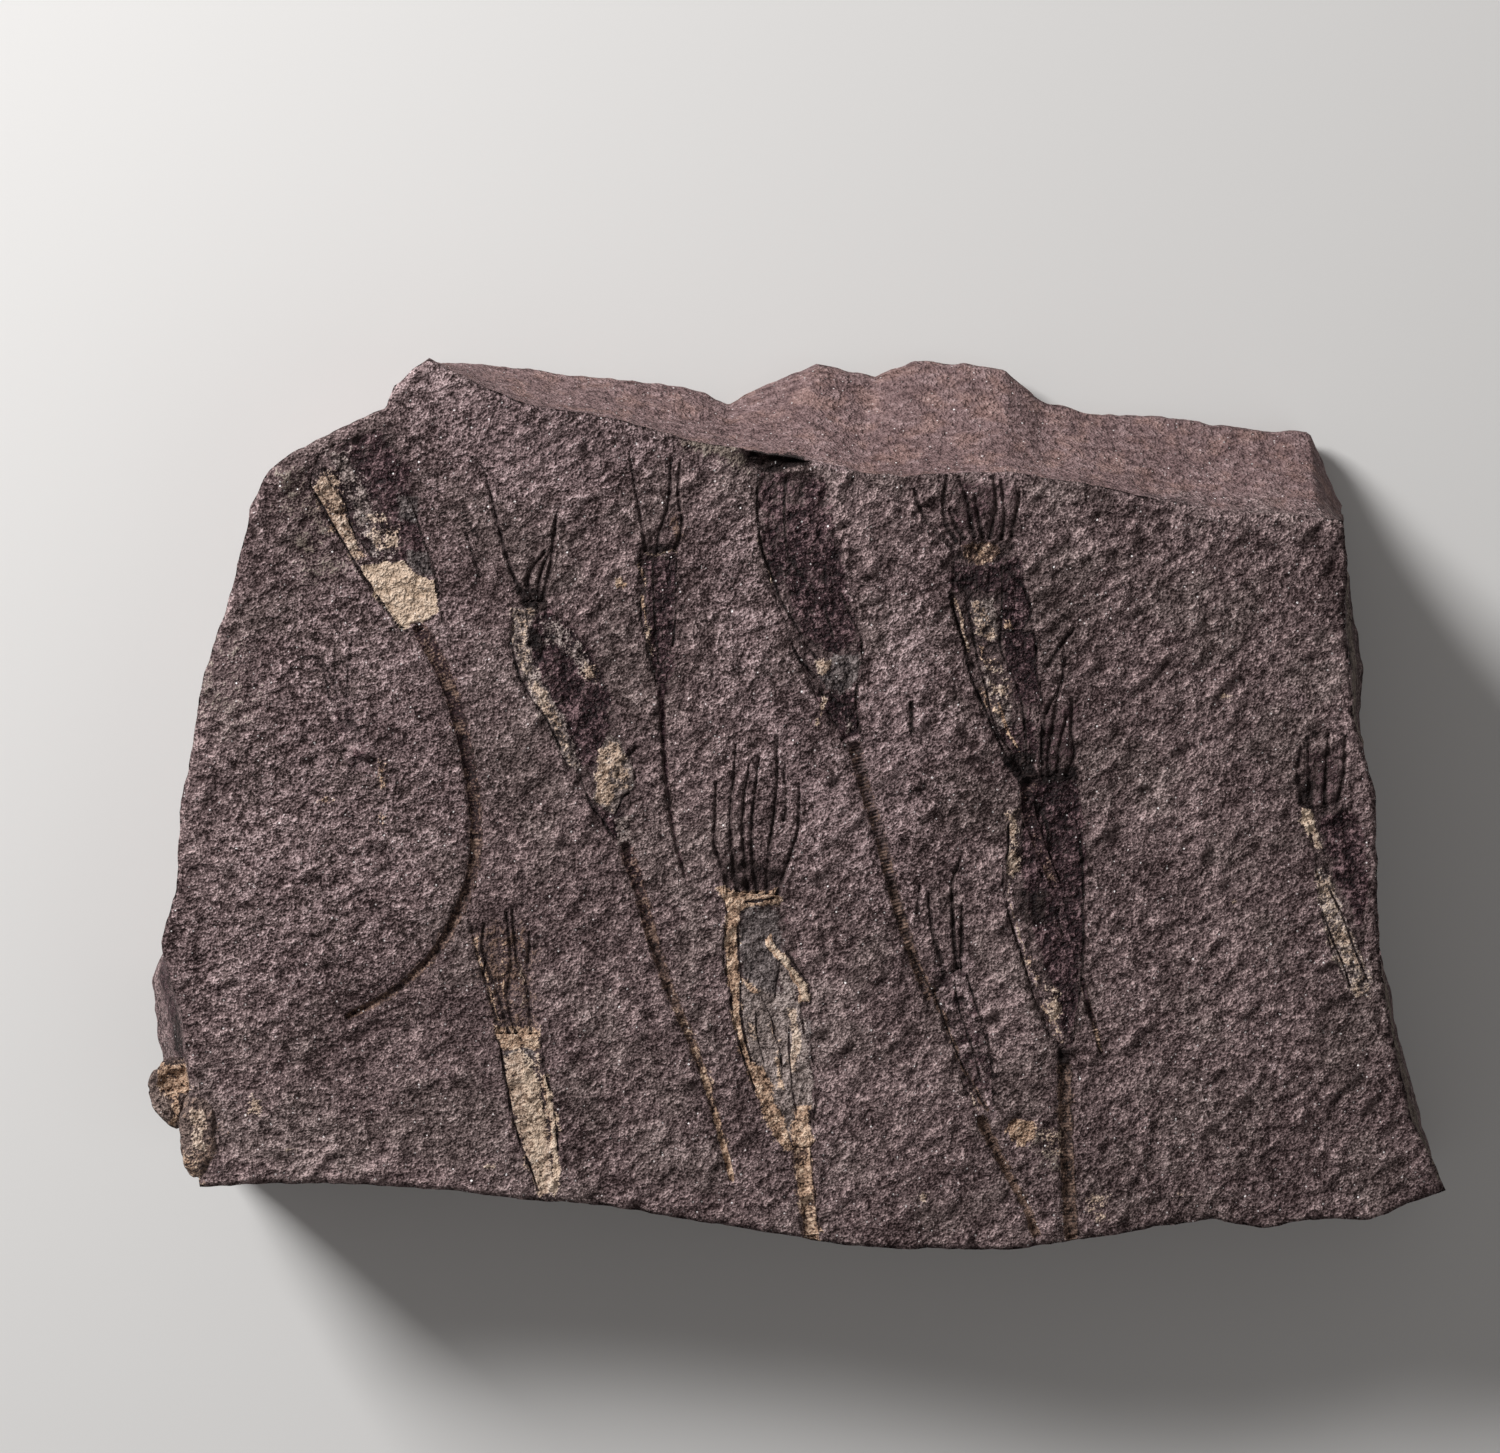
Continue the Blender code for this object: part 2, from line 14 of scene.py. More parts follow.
import bpy
import numpy as np
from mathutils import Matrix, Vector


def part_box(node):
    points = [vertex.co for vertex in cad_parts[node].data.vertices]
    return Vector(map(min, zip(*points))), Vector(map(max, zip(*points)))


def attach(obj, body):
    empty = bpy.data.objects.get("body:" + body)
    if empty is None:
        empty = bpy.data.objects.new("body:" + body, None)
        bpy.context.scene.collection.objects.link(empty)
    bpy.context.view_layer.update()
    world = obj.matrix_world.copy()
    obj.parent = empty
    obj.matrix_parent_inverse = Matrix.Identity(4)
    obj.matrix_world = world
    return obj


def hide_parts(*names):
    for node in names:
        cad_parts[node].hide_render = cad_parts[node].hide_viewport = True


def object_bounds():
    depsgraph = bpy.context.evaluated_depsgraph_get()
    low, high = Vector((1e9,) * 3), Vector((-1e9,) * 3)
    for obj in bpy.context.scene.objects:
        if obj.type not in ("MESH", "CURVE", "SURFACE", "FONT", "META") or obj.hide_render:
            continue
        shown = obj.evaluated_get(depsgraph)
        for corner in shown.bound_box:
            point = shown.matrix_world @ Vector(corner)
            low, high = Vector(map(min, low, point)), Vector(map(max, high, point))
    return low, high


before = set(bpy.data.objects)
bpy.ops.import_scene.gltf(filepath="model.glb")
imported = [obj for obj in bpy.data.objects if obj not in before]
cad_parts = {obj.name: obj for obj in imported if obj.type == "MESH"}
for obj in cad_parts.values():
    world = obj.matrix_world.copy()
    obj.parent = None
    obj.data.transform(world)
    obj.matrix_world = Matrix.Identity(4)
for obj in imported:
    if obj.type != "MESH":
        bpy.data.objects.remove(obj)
cad_box = np.array(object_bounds())
print("solid parts:", len(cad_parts), "box in mm:", (cad_box * 1000).round(1).tolist())

# %% [markdown]
# ## Measures
# All places are in millimetres on the fossil face, X along the slab and Y towards its broken top side.
# One function turns them into metres in the frame, so a place read off the slab is typed only once.

# %% Units and the slab's main sizes
MM = 0.001
CENTRE = np.array((-0.75, 0.9))   # the middle of the slab on its own face, in mm
THICKNESS = 36.0


def metres(x, y, z):
    """Points in metres in the frame, from millimetres on the slab."""
    return np.stack([x - CENTRE[0], y - CENTRE[1], z], axis=-1) * MM


def start_clean():
    """Nothing selected, in object mode, because an operator acts on all that is selected."""
    if bpy.context.object and bpy.context.object.mode != "OBJECT":
        bpy.ops.object.mode_set(mode="OBJECT")
    bpy.ops.object.select_all(action="DESELECT")


def select_only(piece):
    """Only this piece selected and active, in object mode."""
    start_clean()
    piece.select_set(True)
    bpy.context.view_layer.objects.active = piece


start_clean()

# %% [markdown]
# ## Camera, floor and light
# The slab lies on its back, so the camera hangs straight above it. Light comes low from the upper left:
# only slanting light shows hollows this shallow, dark on the side near the lamp and bright on the far
# side. A broad lamp keeps it soft, and the pale floor and sky fill the shadows.

# %% Camera
CAMERA_PLACE = (-8.2, 13.1, 1036.0)   # mm, a metre above the fossil face
CAMERA_LENS = 139.2                   # mm, on a 36 mm wide sensor
bpy.ops.object.camera_add(location=metres(*CAMERA_PLACE), rotation=(0.0, 0.0, 0.0))
camera = bpy.context.object
camera.data.lens = CAMERA_LENS
camera.data.clip_start = 0.05
bpy.context.scene.camera = camera
print("camera height in m:", round(camera.location.z, 3))

# %% Floor
FLOOR_SIZE = 6.0
FLOOR_GREY = (0.62, 0.61, 0.60, 1.0)
FLOOR_ROUGHNESS = 0.9
start_clean()
bpy.ops.mesh.primitive_plane_add(size=FLOOR_SIZE, location=(0.0, 0.0, 0.0))
floor = bpy.context.object
floor.name = "floor"
floor_paint = bpy.data.materials.new("pale_floor")
floor_paint.use_nodes = True
floor_shader = floor_paint.node_tree.nodes["Principled BSDF"]
floor_shader.inputs["Base Color"].default_value = FLOOR_GREY
floor_shader.inputs["Roughness"].default_value = FLOOR_ROUGHNESS
floor.data.materials.append(floor_paint)

# %% Lamps
KEY_PLACE = (-0.74, 0.66, 0.58)   # m
KEY_SIZE = 0.38
KEY_WATTS = 20.5
FILL_PLACE = (0.9, -0.7, 1.3)
FILL_SIZE = 1.2
FILL_WATTS = 2.5
SKY_COLOUR = (1.0, 0.97, 0.95, 1.0)
SKY_STRENGTH = 0.18


def add_lamp(name, place, size, watts):
    """A square lamp that faces the slab."""
    bpy.ops.object.light_add(type="AREA", location=place)
    lamp = bpy.context.object
    lamp.name = name
    lamp.data.size = size
    lamp.data.energy = watts
    lamp.rotation_euler = (-lamp.location).to_track_quat("-Z", "Y").to_euler()


add_lamp("key_lamp", KEY_PLACE, KEY_SIZE, KEY_WATTS)
add_lamp("fill_lamp", FILL_PLACE, FILL_SIZE, FILL_WATTS)
world = bpy.data.worlds.new("pale_sky")
world.use_nodes = True
sky = world.node_tree.nodes["Background"]
sky.inputs["Color"].default_value = SKY_COLOUR
sky.inputs["Strength"].default_value = SKY_STRENGTH
bpy.context.scene.world = world
bpy.context.scene.view_settings.view_transform = "Standard"

# %% [markdown]
# ## Random bumps that are the same each time
# Broken stone is rough at every size. Smooth random bumps (gradient noise) of several sizes, added up,
# give that. They are worked out here from seeded tables, so that two runs give the same stone, and so
# that the rock and the films in it can share one surface.

# %% Bumps
BUMP_TABLE = np.random.RandomState(7).permutation(256)
BUMP_SLOPES = np.random.RandomState(8).normal(size=(256, 3))
BUMP_SLOPES /= np.linalg.norm(BUMP_SLOPES, axis=1)[:, None]
CHIP_STRAY = 0.42   # how far a chip's middle strays in its cell, as part of the cell


def bumps(points):
    """Smooth random values of about -0.6 to 0.6, with bumps one unit apart, at (N, 3) points."""
    cell = np.floor(points).astype(np.int64)
    inside = points - cell
    ease = inside**3 * (inside * (inside * 6.0 - 15.0) + 10.0)
    total = np.zeros(len(points))
    for corner in itertools.product((0, 1), repeat=3):
        key = np.zeros(len(points), np.int64)
        share = np.ones(len(points))
        for axis, step in enumerate(corner):
            key = BUMP_TABLE[(key + cell[:, axis] + step) & 255]
            share = share * (ease[:, axis] if step else 1.0 - ease[:, axis])
        total += share * ((inside - corner) * BUMP_SLOPES[key]).sum(axis=1)
    return total


def bumps_flat(x, y, size, layer=0.0):
    """Bumps of a size in mm over flat places x, y."""
    return bumps(np.stack([x / size, y / size, np.full_like(x, layer + 0.37)], axis=1))


def chips(x, y, size, layer):
    """Flat places broken into chips of a size in mm: each place's chip has a random value from -0.5 to 0.5,
    and the distance to the chip's edge is in mm."""
    x, y = x / size, y / size
    nearest, second = np.full(len(x), 9.0), np.full(len(x), 9.0)
    value = np.zeros(len(x))
    for right, up in itertools.product((-1, 0, 1), repeat=2):
        column, row = np.floor(x).astype(int) + right, np.floor(y).astype(int) + up
        key = BUMP_TABLE[(BUMP_TABLE[(column + layer) & 255] + row) & 255]
        middle = BUMP_SLOPES[key] * CHIP_STRAY
        gap = np.hypot(x - column - 0.5 - middle[:, 0], y - row - 0.5 - middle[:, 1])
        second = np.where(gap < nearest, nearest, np.minimum(second, gap))
        value = np.where(gap < nearest, BUMP_SLOPES[key, 2] / 2, value)
        nearest = np.minimum(nearest, gap)
    return value, (second - nearest) * size / 2


def step_up(value):
    """0 below 0, 1 above 1, and a smooth rise between."""
    held = np.clip(value, 0.0, 1.0)
    return held * held * (3.0 - 2.0 * held)


print("bumps at one place:", bumps(np.array([[0.3, 0.6, 0.9]])).round(4))

# %% [markdown]
# ## Smooth lines through a few places
# A stem or an arm is typed as a few places along it. A Catmull-Rom curve goes through all of them and
# bends evenly between, which suits things that grew. Distances from such a line then say where its hollow
# is and how deep.

# %% Lines
CURVE_STEPS = 12   # points of a curve between two typed places, before they are spaced evenly


def smooth_line(places, spacing):
    """Evenly spaced points on a smooth curve through the places."""
    places = np.asarray(places, float)
    ends = np.vstack([2 * places[0] - places[1], places, 2 * places[-1] - places[-2]])
    fine = []
    for a, b, c, d in zip(ends, ends[1:], ends[2:], ends[3:]):
        t = np.linspace(0.0, 1.0, CURVE_STEPS, endpoint=False)[:, None]
        fine.append(0.5 * (2 * b + (c - a) * t + (2 * a - 5 * b + 4 * c - d) * t**2
                           + (3 * b - a - 3 * c + d) * t**3))
    fine = np.vstack(fine + [places[-1:]])
    reach = np.concatenate([[0.0], np.cumsum(np.linalg.norm(np.diff(fine, axis=0), axis=1))])
    count = max(int(round(reach[-1] / spacing)), 2)
    even = np.linspace(0.0, reach[-1], count + 1)
    return np.stack([np.interp(even, reach, fine[:, k]) for k in range(fine.shape[1])], axis=1)


def pairs(numbers):
    """Places (x, y), from numbers that are typed one after another."""
    return np.reshape(numbers, (-1, 2)).astype(float)


def at_share(share, line):
    """Places at a share, 0 to 1, of the way through the points of a line."""
    even = np.linspace(0, 1, len(line))
    return np.stack([np.interp(share, even, line[:, k]) for k in range(2)], axis=1)


def near_line(points, line):
    """Distance of each (N, 2) point from a line, and how far along it the nearest place is, 0 to 1."""
    starts, steps = line[:-1], np.diff(line, axis=0)
    lengths = (steps**2).sum(axis=1)
    away = points[:, None, :] - starts[None]
    share = np.clip((away * steps).sum(axis=2) / lengths, 0.0, 1.0)
    gaps = np.linalg.norm(away - share[..., None] * steps, axis=2)
    nearest = gaps.argmin(axis=1)
    rows = np.arange(len(points))
    return gaps[rows, nearest], (nearest + share[rows, nearest]) / len(steps)


def inside_of(points, border):
    """Distance of each point from a closed border, positive inside it."""
    closed = np.vstack([border, border[:1]])
    gap, _ = near_line(points, closed)
    x, y = points[:, 0][:, None], points[:, 1][:, None]
    (x0, y0), (x1, y1) = closed[:-1].T, closed[1:].T
    crosses = ((y0 > y) != (y1 > y)) & (x < (x1 - x0) * (y - y0) / (y1 - y0 + 1e-12) + x0)
    return np.where(crosses.sum(axis=1) % 2 == 1, gap, -gap)


def around(points, line, reach):
    """Which points are in the line's box, with reach added on every side."""
    low, high = line.min(axis=0) - reach, line.max(axis=0) + reach
    return ((points >= low) & (points <= high)).all(axis=1)


# %% [markdown]
# ## Where the fossils are
# Each cup is typed as pairs of places, on its left and its right edge, from the arms down to the stem.
# Arms and stems are lines down the middle of their hollows.

# %% Cups, arms and stems
CUPS = {
    1: ((-82.0, 61.0, -70.0, 65.0), (-84.0, 54.8, -67.0, 54.0), (-80.5, 48.3, -64.6, 46.0),
        (-76.4, 41.2, -62.6, 39.5), (-72.0, 34.8, -61.9, 34.6), (-68.2, 30.4, -62.9, 31.2)),
    2: ((-48.8, 34.5, -43.0, 34.5), (-49.6, 28.0, -37.8, 28.6), (-48.0, 21.0, -33.4, 21.2),
        (-43.5, 13.5, -31.2, 14.5), (-39.8, 6.5, -28.1, 7.0), (-35.5, -0.8, -28.8, 0.5),
        (-31.7, -6.5, -29.2, -6.0)),
    3: ((-27.0, 42.8, -20.7, 42.8), (-27.0, 33.0, -21.0, 33.0), (-25.7, 26.0, -21.3, 26.0),
        (-24.5, 20.6, -22.5, 20.3)),
    4: ((-7.0, 57.6, 4.6, 56.6), (-6.6, 46.0, 7.0, 46.0), (-4.0, 36.0, 9.6, 36.5),
        (-1.0, 27.5, 11.2, 29.0), (2.5, 19.5, 10.6, 20.5), (7.9, 11.0, 10.7, 11.0)),
    5: ((27.0, 45.4, 37.4, 45.0), (26.7, 41.8, 38.6, 41.8), (26.6, 34.0, 40.2, 34.5), (28.5, 27.0, 41.0, 27.5),
        (30.8, 18.5, 41.8, 20.0), (34.3, 10.5, 41.7, 11.5), (38.6, 4.6, 41.0, 4.8)),
    6: ((37.5, -1.0, 48.0, 4.4), (36.0, -9.0, 49.2, -6.0), (36.1, -18.0, 49.5, -18.0),
        (39.2, -28.5, 49.0, -28.0), (42.0, -37.0, 48.3, -36.0), (45.0, -42.8, 47.2, -42.6)),
    7: ((23.5, -29.3, 29.0, -28.8), (24.5, -36.5, 31.3, -36.0), (27.3, -45.0, 33.2, -44.5),
        (30.6, -52.5, 33.3, -52.8)),
    8: ((-12.7, -15.3, -3.3, -16.3), (-12.2, -22.0, -1.3, -22.0), (-12.0, -30.0, 1.7, -31.5),
        (-10.7, -38.0, 1.7, -38.5), (-8.5, -46.5, 2.7, -47.0), (-4.8, -54.8, 3.0, -54.5),
        (-1.3, -59.6, 2.7, -59.2)),
    9: ((-51.8, -40.0, -44.4, -40.0), (-50.3, -48.0, -43.3, -47.5), (-49.0, -55.0, -41.5, -55.5),
        (-46.7, -61.5, -41.1, -61.5), (-44.6, -67.4, -41.8, -67.4)),
    10: ((-81.3, 18.0, -77.7, 18.0), (-79.8, 12.5, -75.7, 13.0), (-76.6, 5.2, -74.5, 5.6)),
    11: ((87.0, -0.5, 94.0, -0.3), (88.7, -7.5, 97.3, -6.5), (90.2, -15.0, 98.0, -15.0),
         (91.8, -24.0, 98.3, -24.0), (95.3, -32.3, 98.8, -31.5)),
}
ARMS = {
    2: (((-56.0, 59.5), (-54.1, 57.4), (-53.0, 53.5), (-51.0, 45.5), (-49.0, 39.0), (-46.6, 34.8)),
        ((-43.6, 43.2), (-46.2, 39.5), (-46.4, 37.0), (-45.6, 34.8)),
        ((-43.0, 42.6), (-44.4, 39.0), (-44.7, 34.8)),
        ((-41.5, 50.0), (-42.0, 46.0), (-42.4, 42.0), (-43.2, 38.0), (-44.2, 34.8)),
        ((-57.0, 46.0), (-56.0, 43.0), (-54.8, 39.0))),
    3: (((-29.0, 60.5), (-28.0, 54.5), (-26.5, 46.0), (-26.3, 43.4)),
        ((-21.8, 59.0), (-22.3, 51.5), (-24.0, 46.0), (-24.0, 43.4)),
        ((-20.2, 59.0), (-20.6, 53.0), (-19.9, 48.5), (-20.6, 45.0), (-21.2, 43.4))),
    5: (((20.2, 54.0), (21.5, 50.0), (24.5, 46.0), (26.8, 44.0)),
        ((25.8, 56.2), (25.2, 52.0), (25.7, 48.0), (27.4, 45.0)),
        ((26.2, 50.5), (27.4, 47.6), (28.8, 45.4)),
        ((27.9, 56.0), (29.5, 51.5), (29.9, 48.5), (30.5, 45.8)),
        ((30.6, 53.0), (31.2, 49.5), (31.9, 45.8)),
        ((33.8, 56.2), (34.3, 52.0), (33.7, 48.0), (33.2, 45.6)),
        ((35.2, 55.5), (35.8, 49.5), (35.2, 45.4)),
        ((38.3, 53.4), (37.8, 50.0), (37.0, 46.0))),
    6: (((47.8, 30.0), (45.4, 27.0), (43.4, 23.6)),
        ((46.3, 25.0), (45.2, 19.5), (43.1, 16.0), (42.3, 11.0), (42.3, 4.6)),
        ((45.2, 20.5), (44.4, 15.5), (43.2, 7.5), (43.6, 4.6)),
        ((46.4, 14.6), (45.2, 9.5), (44.9, 4.6)),
        ((47.4, 18.0), (47.3, 12.0), (47.8, 8.6), (46.4, 4.8))),
    7: (((22.5, -15.5), (23.3, -22.0), (24.7, -26.8), (25.0, -29.2)),
        ((28.2, -9.5), (26.7, -14.0), (26.8, -19.5), (27.0, -23.5), (27.6, -28.6)),
        ((28.4, -18.0), (28.3, -24.0), (28.1, -28.4)),
        ((21.2, -14.4), (20.6, -19.0))),
    8: (((-14.0, 3.5), (-14.2, -3.0), (-14.3, -7.5), (-12.6, -12.0), (-12.0, -15.4)),
        ((-10.6, 10.0), (-11.0, 4.0), (-11.6, -2.0), (-11.3, -8.0), (-10.4, -15.4)),
        ((-8.3, 6.5), (-9.2, 1.0), (-9.5, -5.0), (-9.1, -10.0), (-8.6, -15.4)),
        ((-6.6, 7.5), (-7.5, 0.5), (-7.9, -5.0), (-7.7, -10.0), (-7.0, -15.4)),
        ((-3.6, 11.0), (-3.5, 4.0), (-4.1, -2.5), (-4.9, -8.5), (-5.3, -15.6)),
        ((-2.4, 5.5), (-1.8, 0.0), (-2.4, -3.0)),
        ((0.3, 3.0), (0.2, -4.0), (-1.2, -9.0), (-2.6, -13.0), (-3.6, -15.8))),
    9: (((-56.3, -22.0), (-55.3, -25.5), (-53.2, -33.0), (-51.2, -39.8)),
        ((-54.0, -21.0), (-54.4, -25.0), (-53.2, -29.0), (-51.4, -34.0), (-49.8, -39.8)),
        ((-50.2, -19.0), (-49.4, -27.5), (-50.0, -34.0), (-48.6, -39.8)),
        ((-49.2, -18.5), (-48.4, -27.0), (-46.6, -31.5), (-46.0, -39.8)),
        ((-46.2, -22.5), (-46.5, -29.0))),
    10: (((-87.2, 23.0), (-86.0, 24.6), (-84.0, 25.0), (-82.4, 24.4), (-81.4, 21.5), (-80.8, 18.0)),
         ((-81.2, 23.6), (-80.0, 21.0), (-79.2, 18.0)),
         ((-76.8, 28.5), (-77.4, 23.5), (-77.8, 18.0))),
    11: (((86.9, 9.5), (86.3, 4.0), (87.6, -0.8)),
         ((88.2, 10.2), (88.3, 5.0), (88.6, -0.8)),
         ((91.6, 11.6), (91.1, 5.0), (90.9, -0.8)),
         ((94.4, 11.0), (94.2, 5.0), (92.9, -0.8))),
}
STEMS = {
    1: (2.8, 1.2, (-65.0, 29.6), (-62.4, 25.0), (-60.0, 19.5), (-57.6, 11.0), (-56.3, 4.0),
        (-55.5, -4.5), (-56.2, -12.5), (-58.8, -19.5), (-63.0, -26.5), (-69.5, -32.5), (-77.5, -37.0)),
    2: (2.3, 0.9, (-29.7, -8.0), (-27.4, -14.5), (-25.3, -22.5), (-22.3, -31.5), (-17.0, -44.5),
        (-14.0, -54.5), (-11.3, -65.0)),
    3: (1.0, 0.5, (-23.5, 18.9), (-23.1, 11.0), (-22.2, 0.5), (-20.9, -7.0), (-19.3, -13.0)),
    4: (2.4, 1.5, (9.9, 9.4), (11.5, 3.0), (14.0, -5.0), (16.2, -14.0), (19.7, -26.0), (22.6, -33.5)),
    5: (2.2, 1.5, (39.8, 3.2), (39.7, -1.0), (41.3, -6.5), (44.2, -14.0)),
    6: (2.3, 2.3, (46.0, -44.2), (46.1, -50.0), (46.3, -58.0), (46.8, -67.0), (47.2, -74.6)),
    7: (1.6, 1.2, (31.6, -54.8), (34.0, -59.5), (36.9, -65.0), (39.5, -70.0), (41.2, -74.6)),
    8: (3.0, 2.5, (0.6, -58.6), (1.0, -63.0), (1.7, -69.0), (2.4, -74.6)),
}
LOOSE_STEM = (0.7, 0.6, (49.2, -30.8), (50.2, -35.0), (51.4, -39.0), (52.3, -43.0))
ARM_WIDTHS = {2: (0.24, 0.60), 3: (0.22, 0.46), 5: (0.34, 0.72), 6: (0.30, 0.70), 7: (0.24, 0.68),
              8: (0.18, 0.64), 9: (0.26, 0.62), 10: (0.25, 0.45), 11: (0.35, 0.70)}   # mm, at the tip and the root
FAINT = {10: 0.5}   # how strongly a crown shows, where that isn't fully
print("cups:", len(CUPS), "arms:", sum(len(v) for v in ARMS.values()), "stems:", len(STEMS) + 1)


# %% Edges of a cup
EDGE_WANDER = 0.5   # mm
LINE_STEP = 0.8     # mm between the points of an arm's or a stem's line


def cup_sides(number):
    """The left and the right edge of a cup as wandering lines of equal count, from arms to stem."""
    typed = np.array(CUPS[number])
    sides = smooth_line(typed, 1.0)
    for k in (0, 2):
        x, y = sides[:, k], sides[:, k + 1]
        sides[:, k] = x + EDGE_WANDER * 2.0 * bumps_flat(x, y, 3.1, number + k)
        sides[:, k + 1] = y + EDGE_WANDER * bumps_flat(x, y, 2.6, number + k + 0.5)
    return sides[:, :2], sides[:, 2:]


def cup_border(number):
    left, right = cup_sides(number)
    return np.vstack([left, right[::-1]])


BORDERS = {number: cup_border(number) for number in CUPS}
ARM_LINES = {number: [smooth_line(arm, LINE_STEP) for arm in arms] for number, arms in ARMS.items()}
STEM_LINES = {number: smooth_line(stem[2:], LINE_STEP) for number, stem in STEMS.items()}
LOOSE_LINE = smooth_line(LOOSE_STEM[2:], LINE_STEP)
GROOVES = [(line, ARM_WIDTHS[n], FAINT.get(n, 1.0)) for n, lines in ARM_LINES.items() for line in lines]
GROOVES += [(STEM_LINES[n], STEMS[n][:2], 1.0) for n in STEMS]
GROOVES += [(LOOSE_LINE, LOOSE_STEM[:2], 1.0)]
print("grooves:", len(GROOVES))

# %% [markdown]
# ## The shape of the fossil face
# The face is a bedding plane: flat as a whole, but hammered all over by lumps a few millimetres long
# that lean to the right. Moulds are carved into it, and lumps are calmer inside a mould. The rock and
# every film read their heights from the same functions, so they fit each other everywhere.

# %% Lumps and moulds
LEANS = (math.radians(14.0), math.radians(42.0))   # the way the lumps lean, at the left and further right
LEAN_TURNS = (-75.0, -35.0)                        # mm, where it turns from one to the other
LEANING_LUMPS = ((4.4, 2.5, 0.2, 1.32), (2.3, 1.3, 5.2, 0.62))   # mm along and across, layer, height
ROUND_LUMPS = (8.5, 0.70)   # mm across, height
SWELL = (27.0, 0.60)        # the same, of the slow rise and fall of the bed
CUP_FLOOR = 1.15            # mm, of the rock under a film
CUP_WALL = 0.45             # mm, over which the rock goes down to it
CUP_CALM = (0.8, 1.6)       # mm, from how far outside a cup the lumps grow calm, and over how far
GROOVE_BANK = 0.22          # mm, of rock beside a strip
GROOVE_DEPTH = (0.45, 0.55)   # mm, of every strip, and more for each mm of half its width
GROOVE_CALM = (0.7, 0.6, 0.9)   # how calm the lumps are in a strip, from how far outside, over how far


def mounds(value):
    """Rounded mounds with sharp creases between them, from smooth bumps."""
    return 0.55 * value + 1.25 * (np.abs(value) - 0.2)


def lumps(x, y):
    """Height of the hammered surface in mm, around zero."""
    turned = step_up((x - LEAN_TURNS[0]) / (LEAN_TURNS[1] - LEAN_TURNS[0]))
    leaning = 0.0
    for lean, share in zip(LEANS, (1.0 - turned, turned)):
        along = x * math.cos(lean) + y * math.sin(lean)
        across = y * math.cos(lean) - x * math.sin(lean)
        leaning = leaning + share * sum(
            height * mounds(bumps(np.stack([along / long, across / wide, np.full_like(x, layer)], axis=1)))
            for long, wide, layer, height in LEANING_LUMPS)
    swell = SWELL[1] * bumps_flat(x, y, SWELL[0], 2.0)
    return swell + ROUND_LUMPS[1] * mounds(bumps_flat(x, y, ROUND_LUMPS[0], 3.0)) + leaning


def groove_width(share, widths):
    """Half the width of a strip at a share of its length."""
    return (widths[0] + (widths[1] - widths[0]) * share) / 2


def carved(points):
    """How deep the moulds go into the rock at each point, and how calm its lumps are there."""
    depth, calm = np.zeros(len(points)), np.zeros(len(points))
    for number, border in BORDERS.items():
        near = around(points, border, 1.5)
        inside = inside_of(points[near], border)
        depth[near] = np.maximum(depth[near], CUP_FLOOR * step_up((inside + 0.05) / CUP_WALL))
        calm[near] = np.maximum(calm[near], step_up((inside + CUP_CALM[0]) / CUP_CALM[1]))
    for line, widths, strength in GROOVES:
        near = around(points, line, 2.5)
        gap, share = near_line(points[near], line)
        half = groove_width(share, widths) + GROOVE_BANK
        deep = (GROOVE_DEPTH[0] + GROOVE_DEPTH[1] * half) * strength * (1.0 - (gap / half) ** 2)
        depth[near] = np.maximum(depth[near], np.maximum(deep, 0.0))
        most, outside, soft = GROOVE_CALM
        calm[near] = np.maximum(calm[near], most * step_up((half + outside - gap) / soft))
    return depth, calm


tried = lumps(*np.random.RandomState(1).uniform(-90, 90, (2, 5000)))
print("lumps in mm, lowest, middle and highest:", np.percentile(tried, (0, 50, 100)).round(2).tolist())

# %% [markdown]
# ## The edge of the slab
# The slab was broken out of its bed. Its outline is typed in places where it turns, each with the place
# behind it on the back, because the sides aren't upright: the top side slopes far back, and the lower
# left corner has a slanting facet.

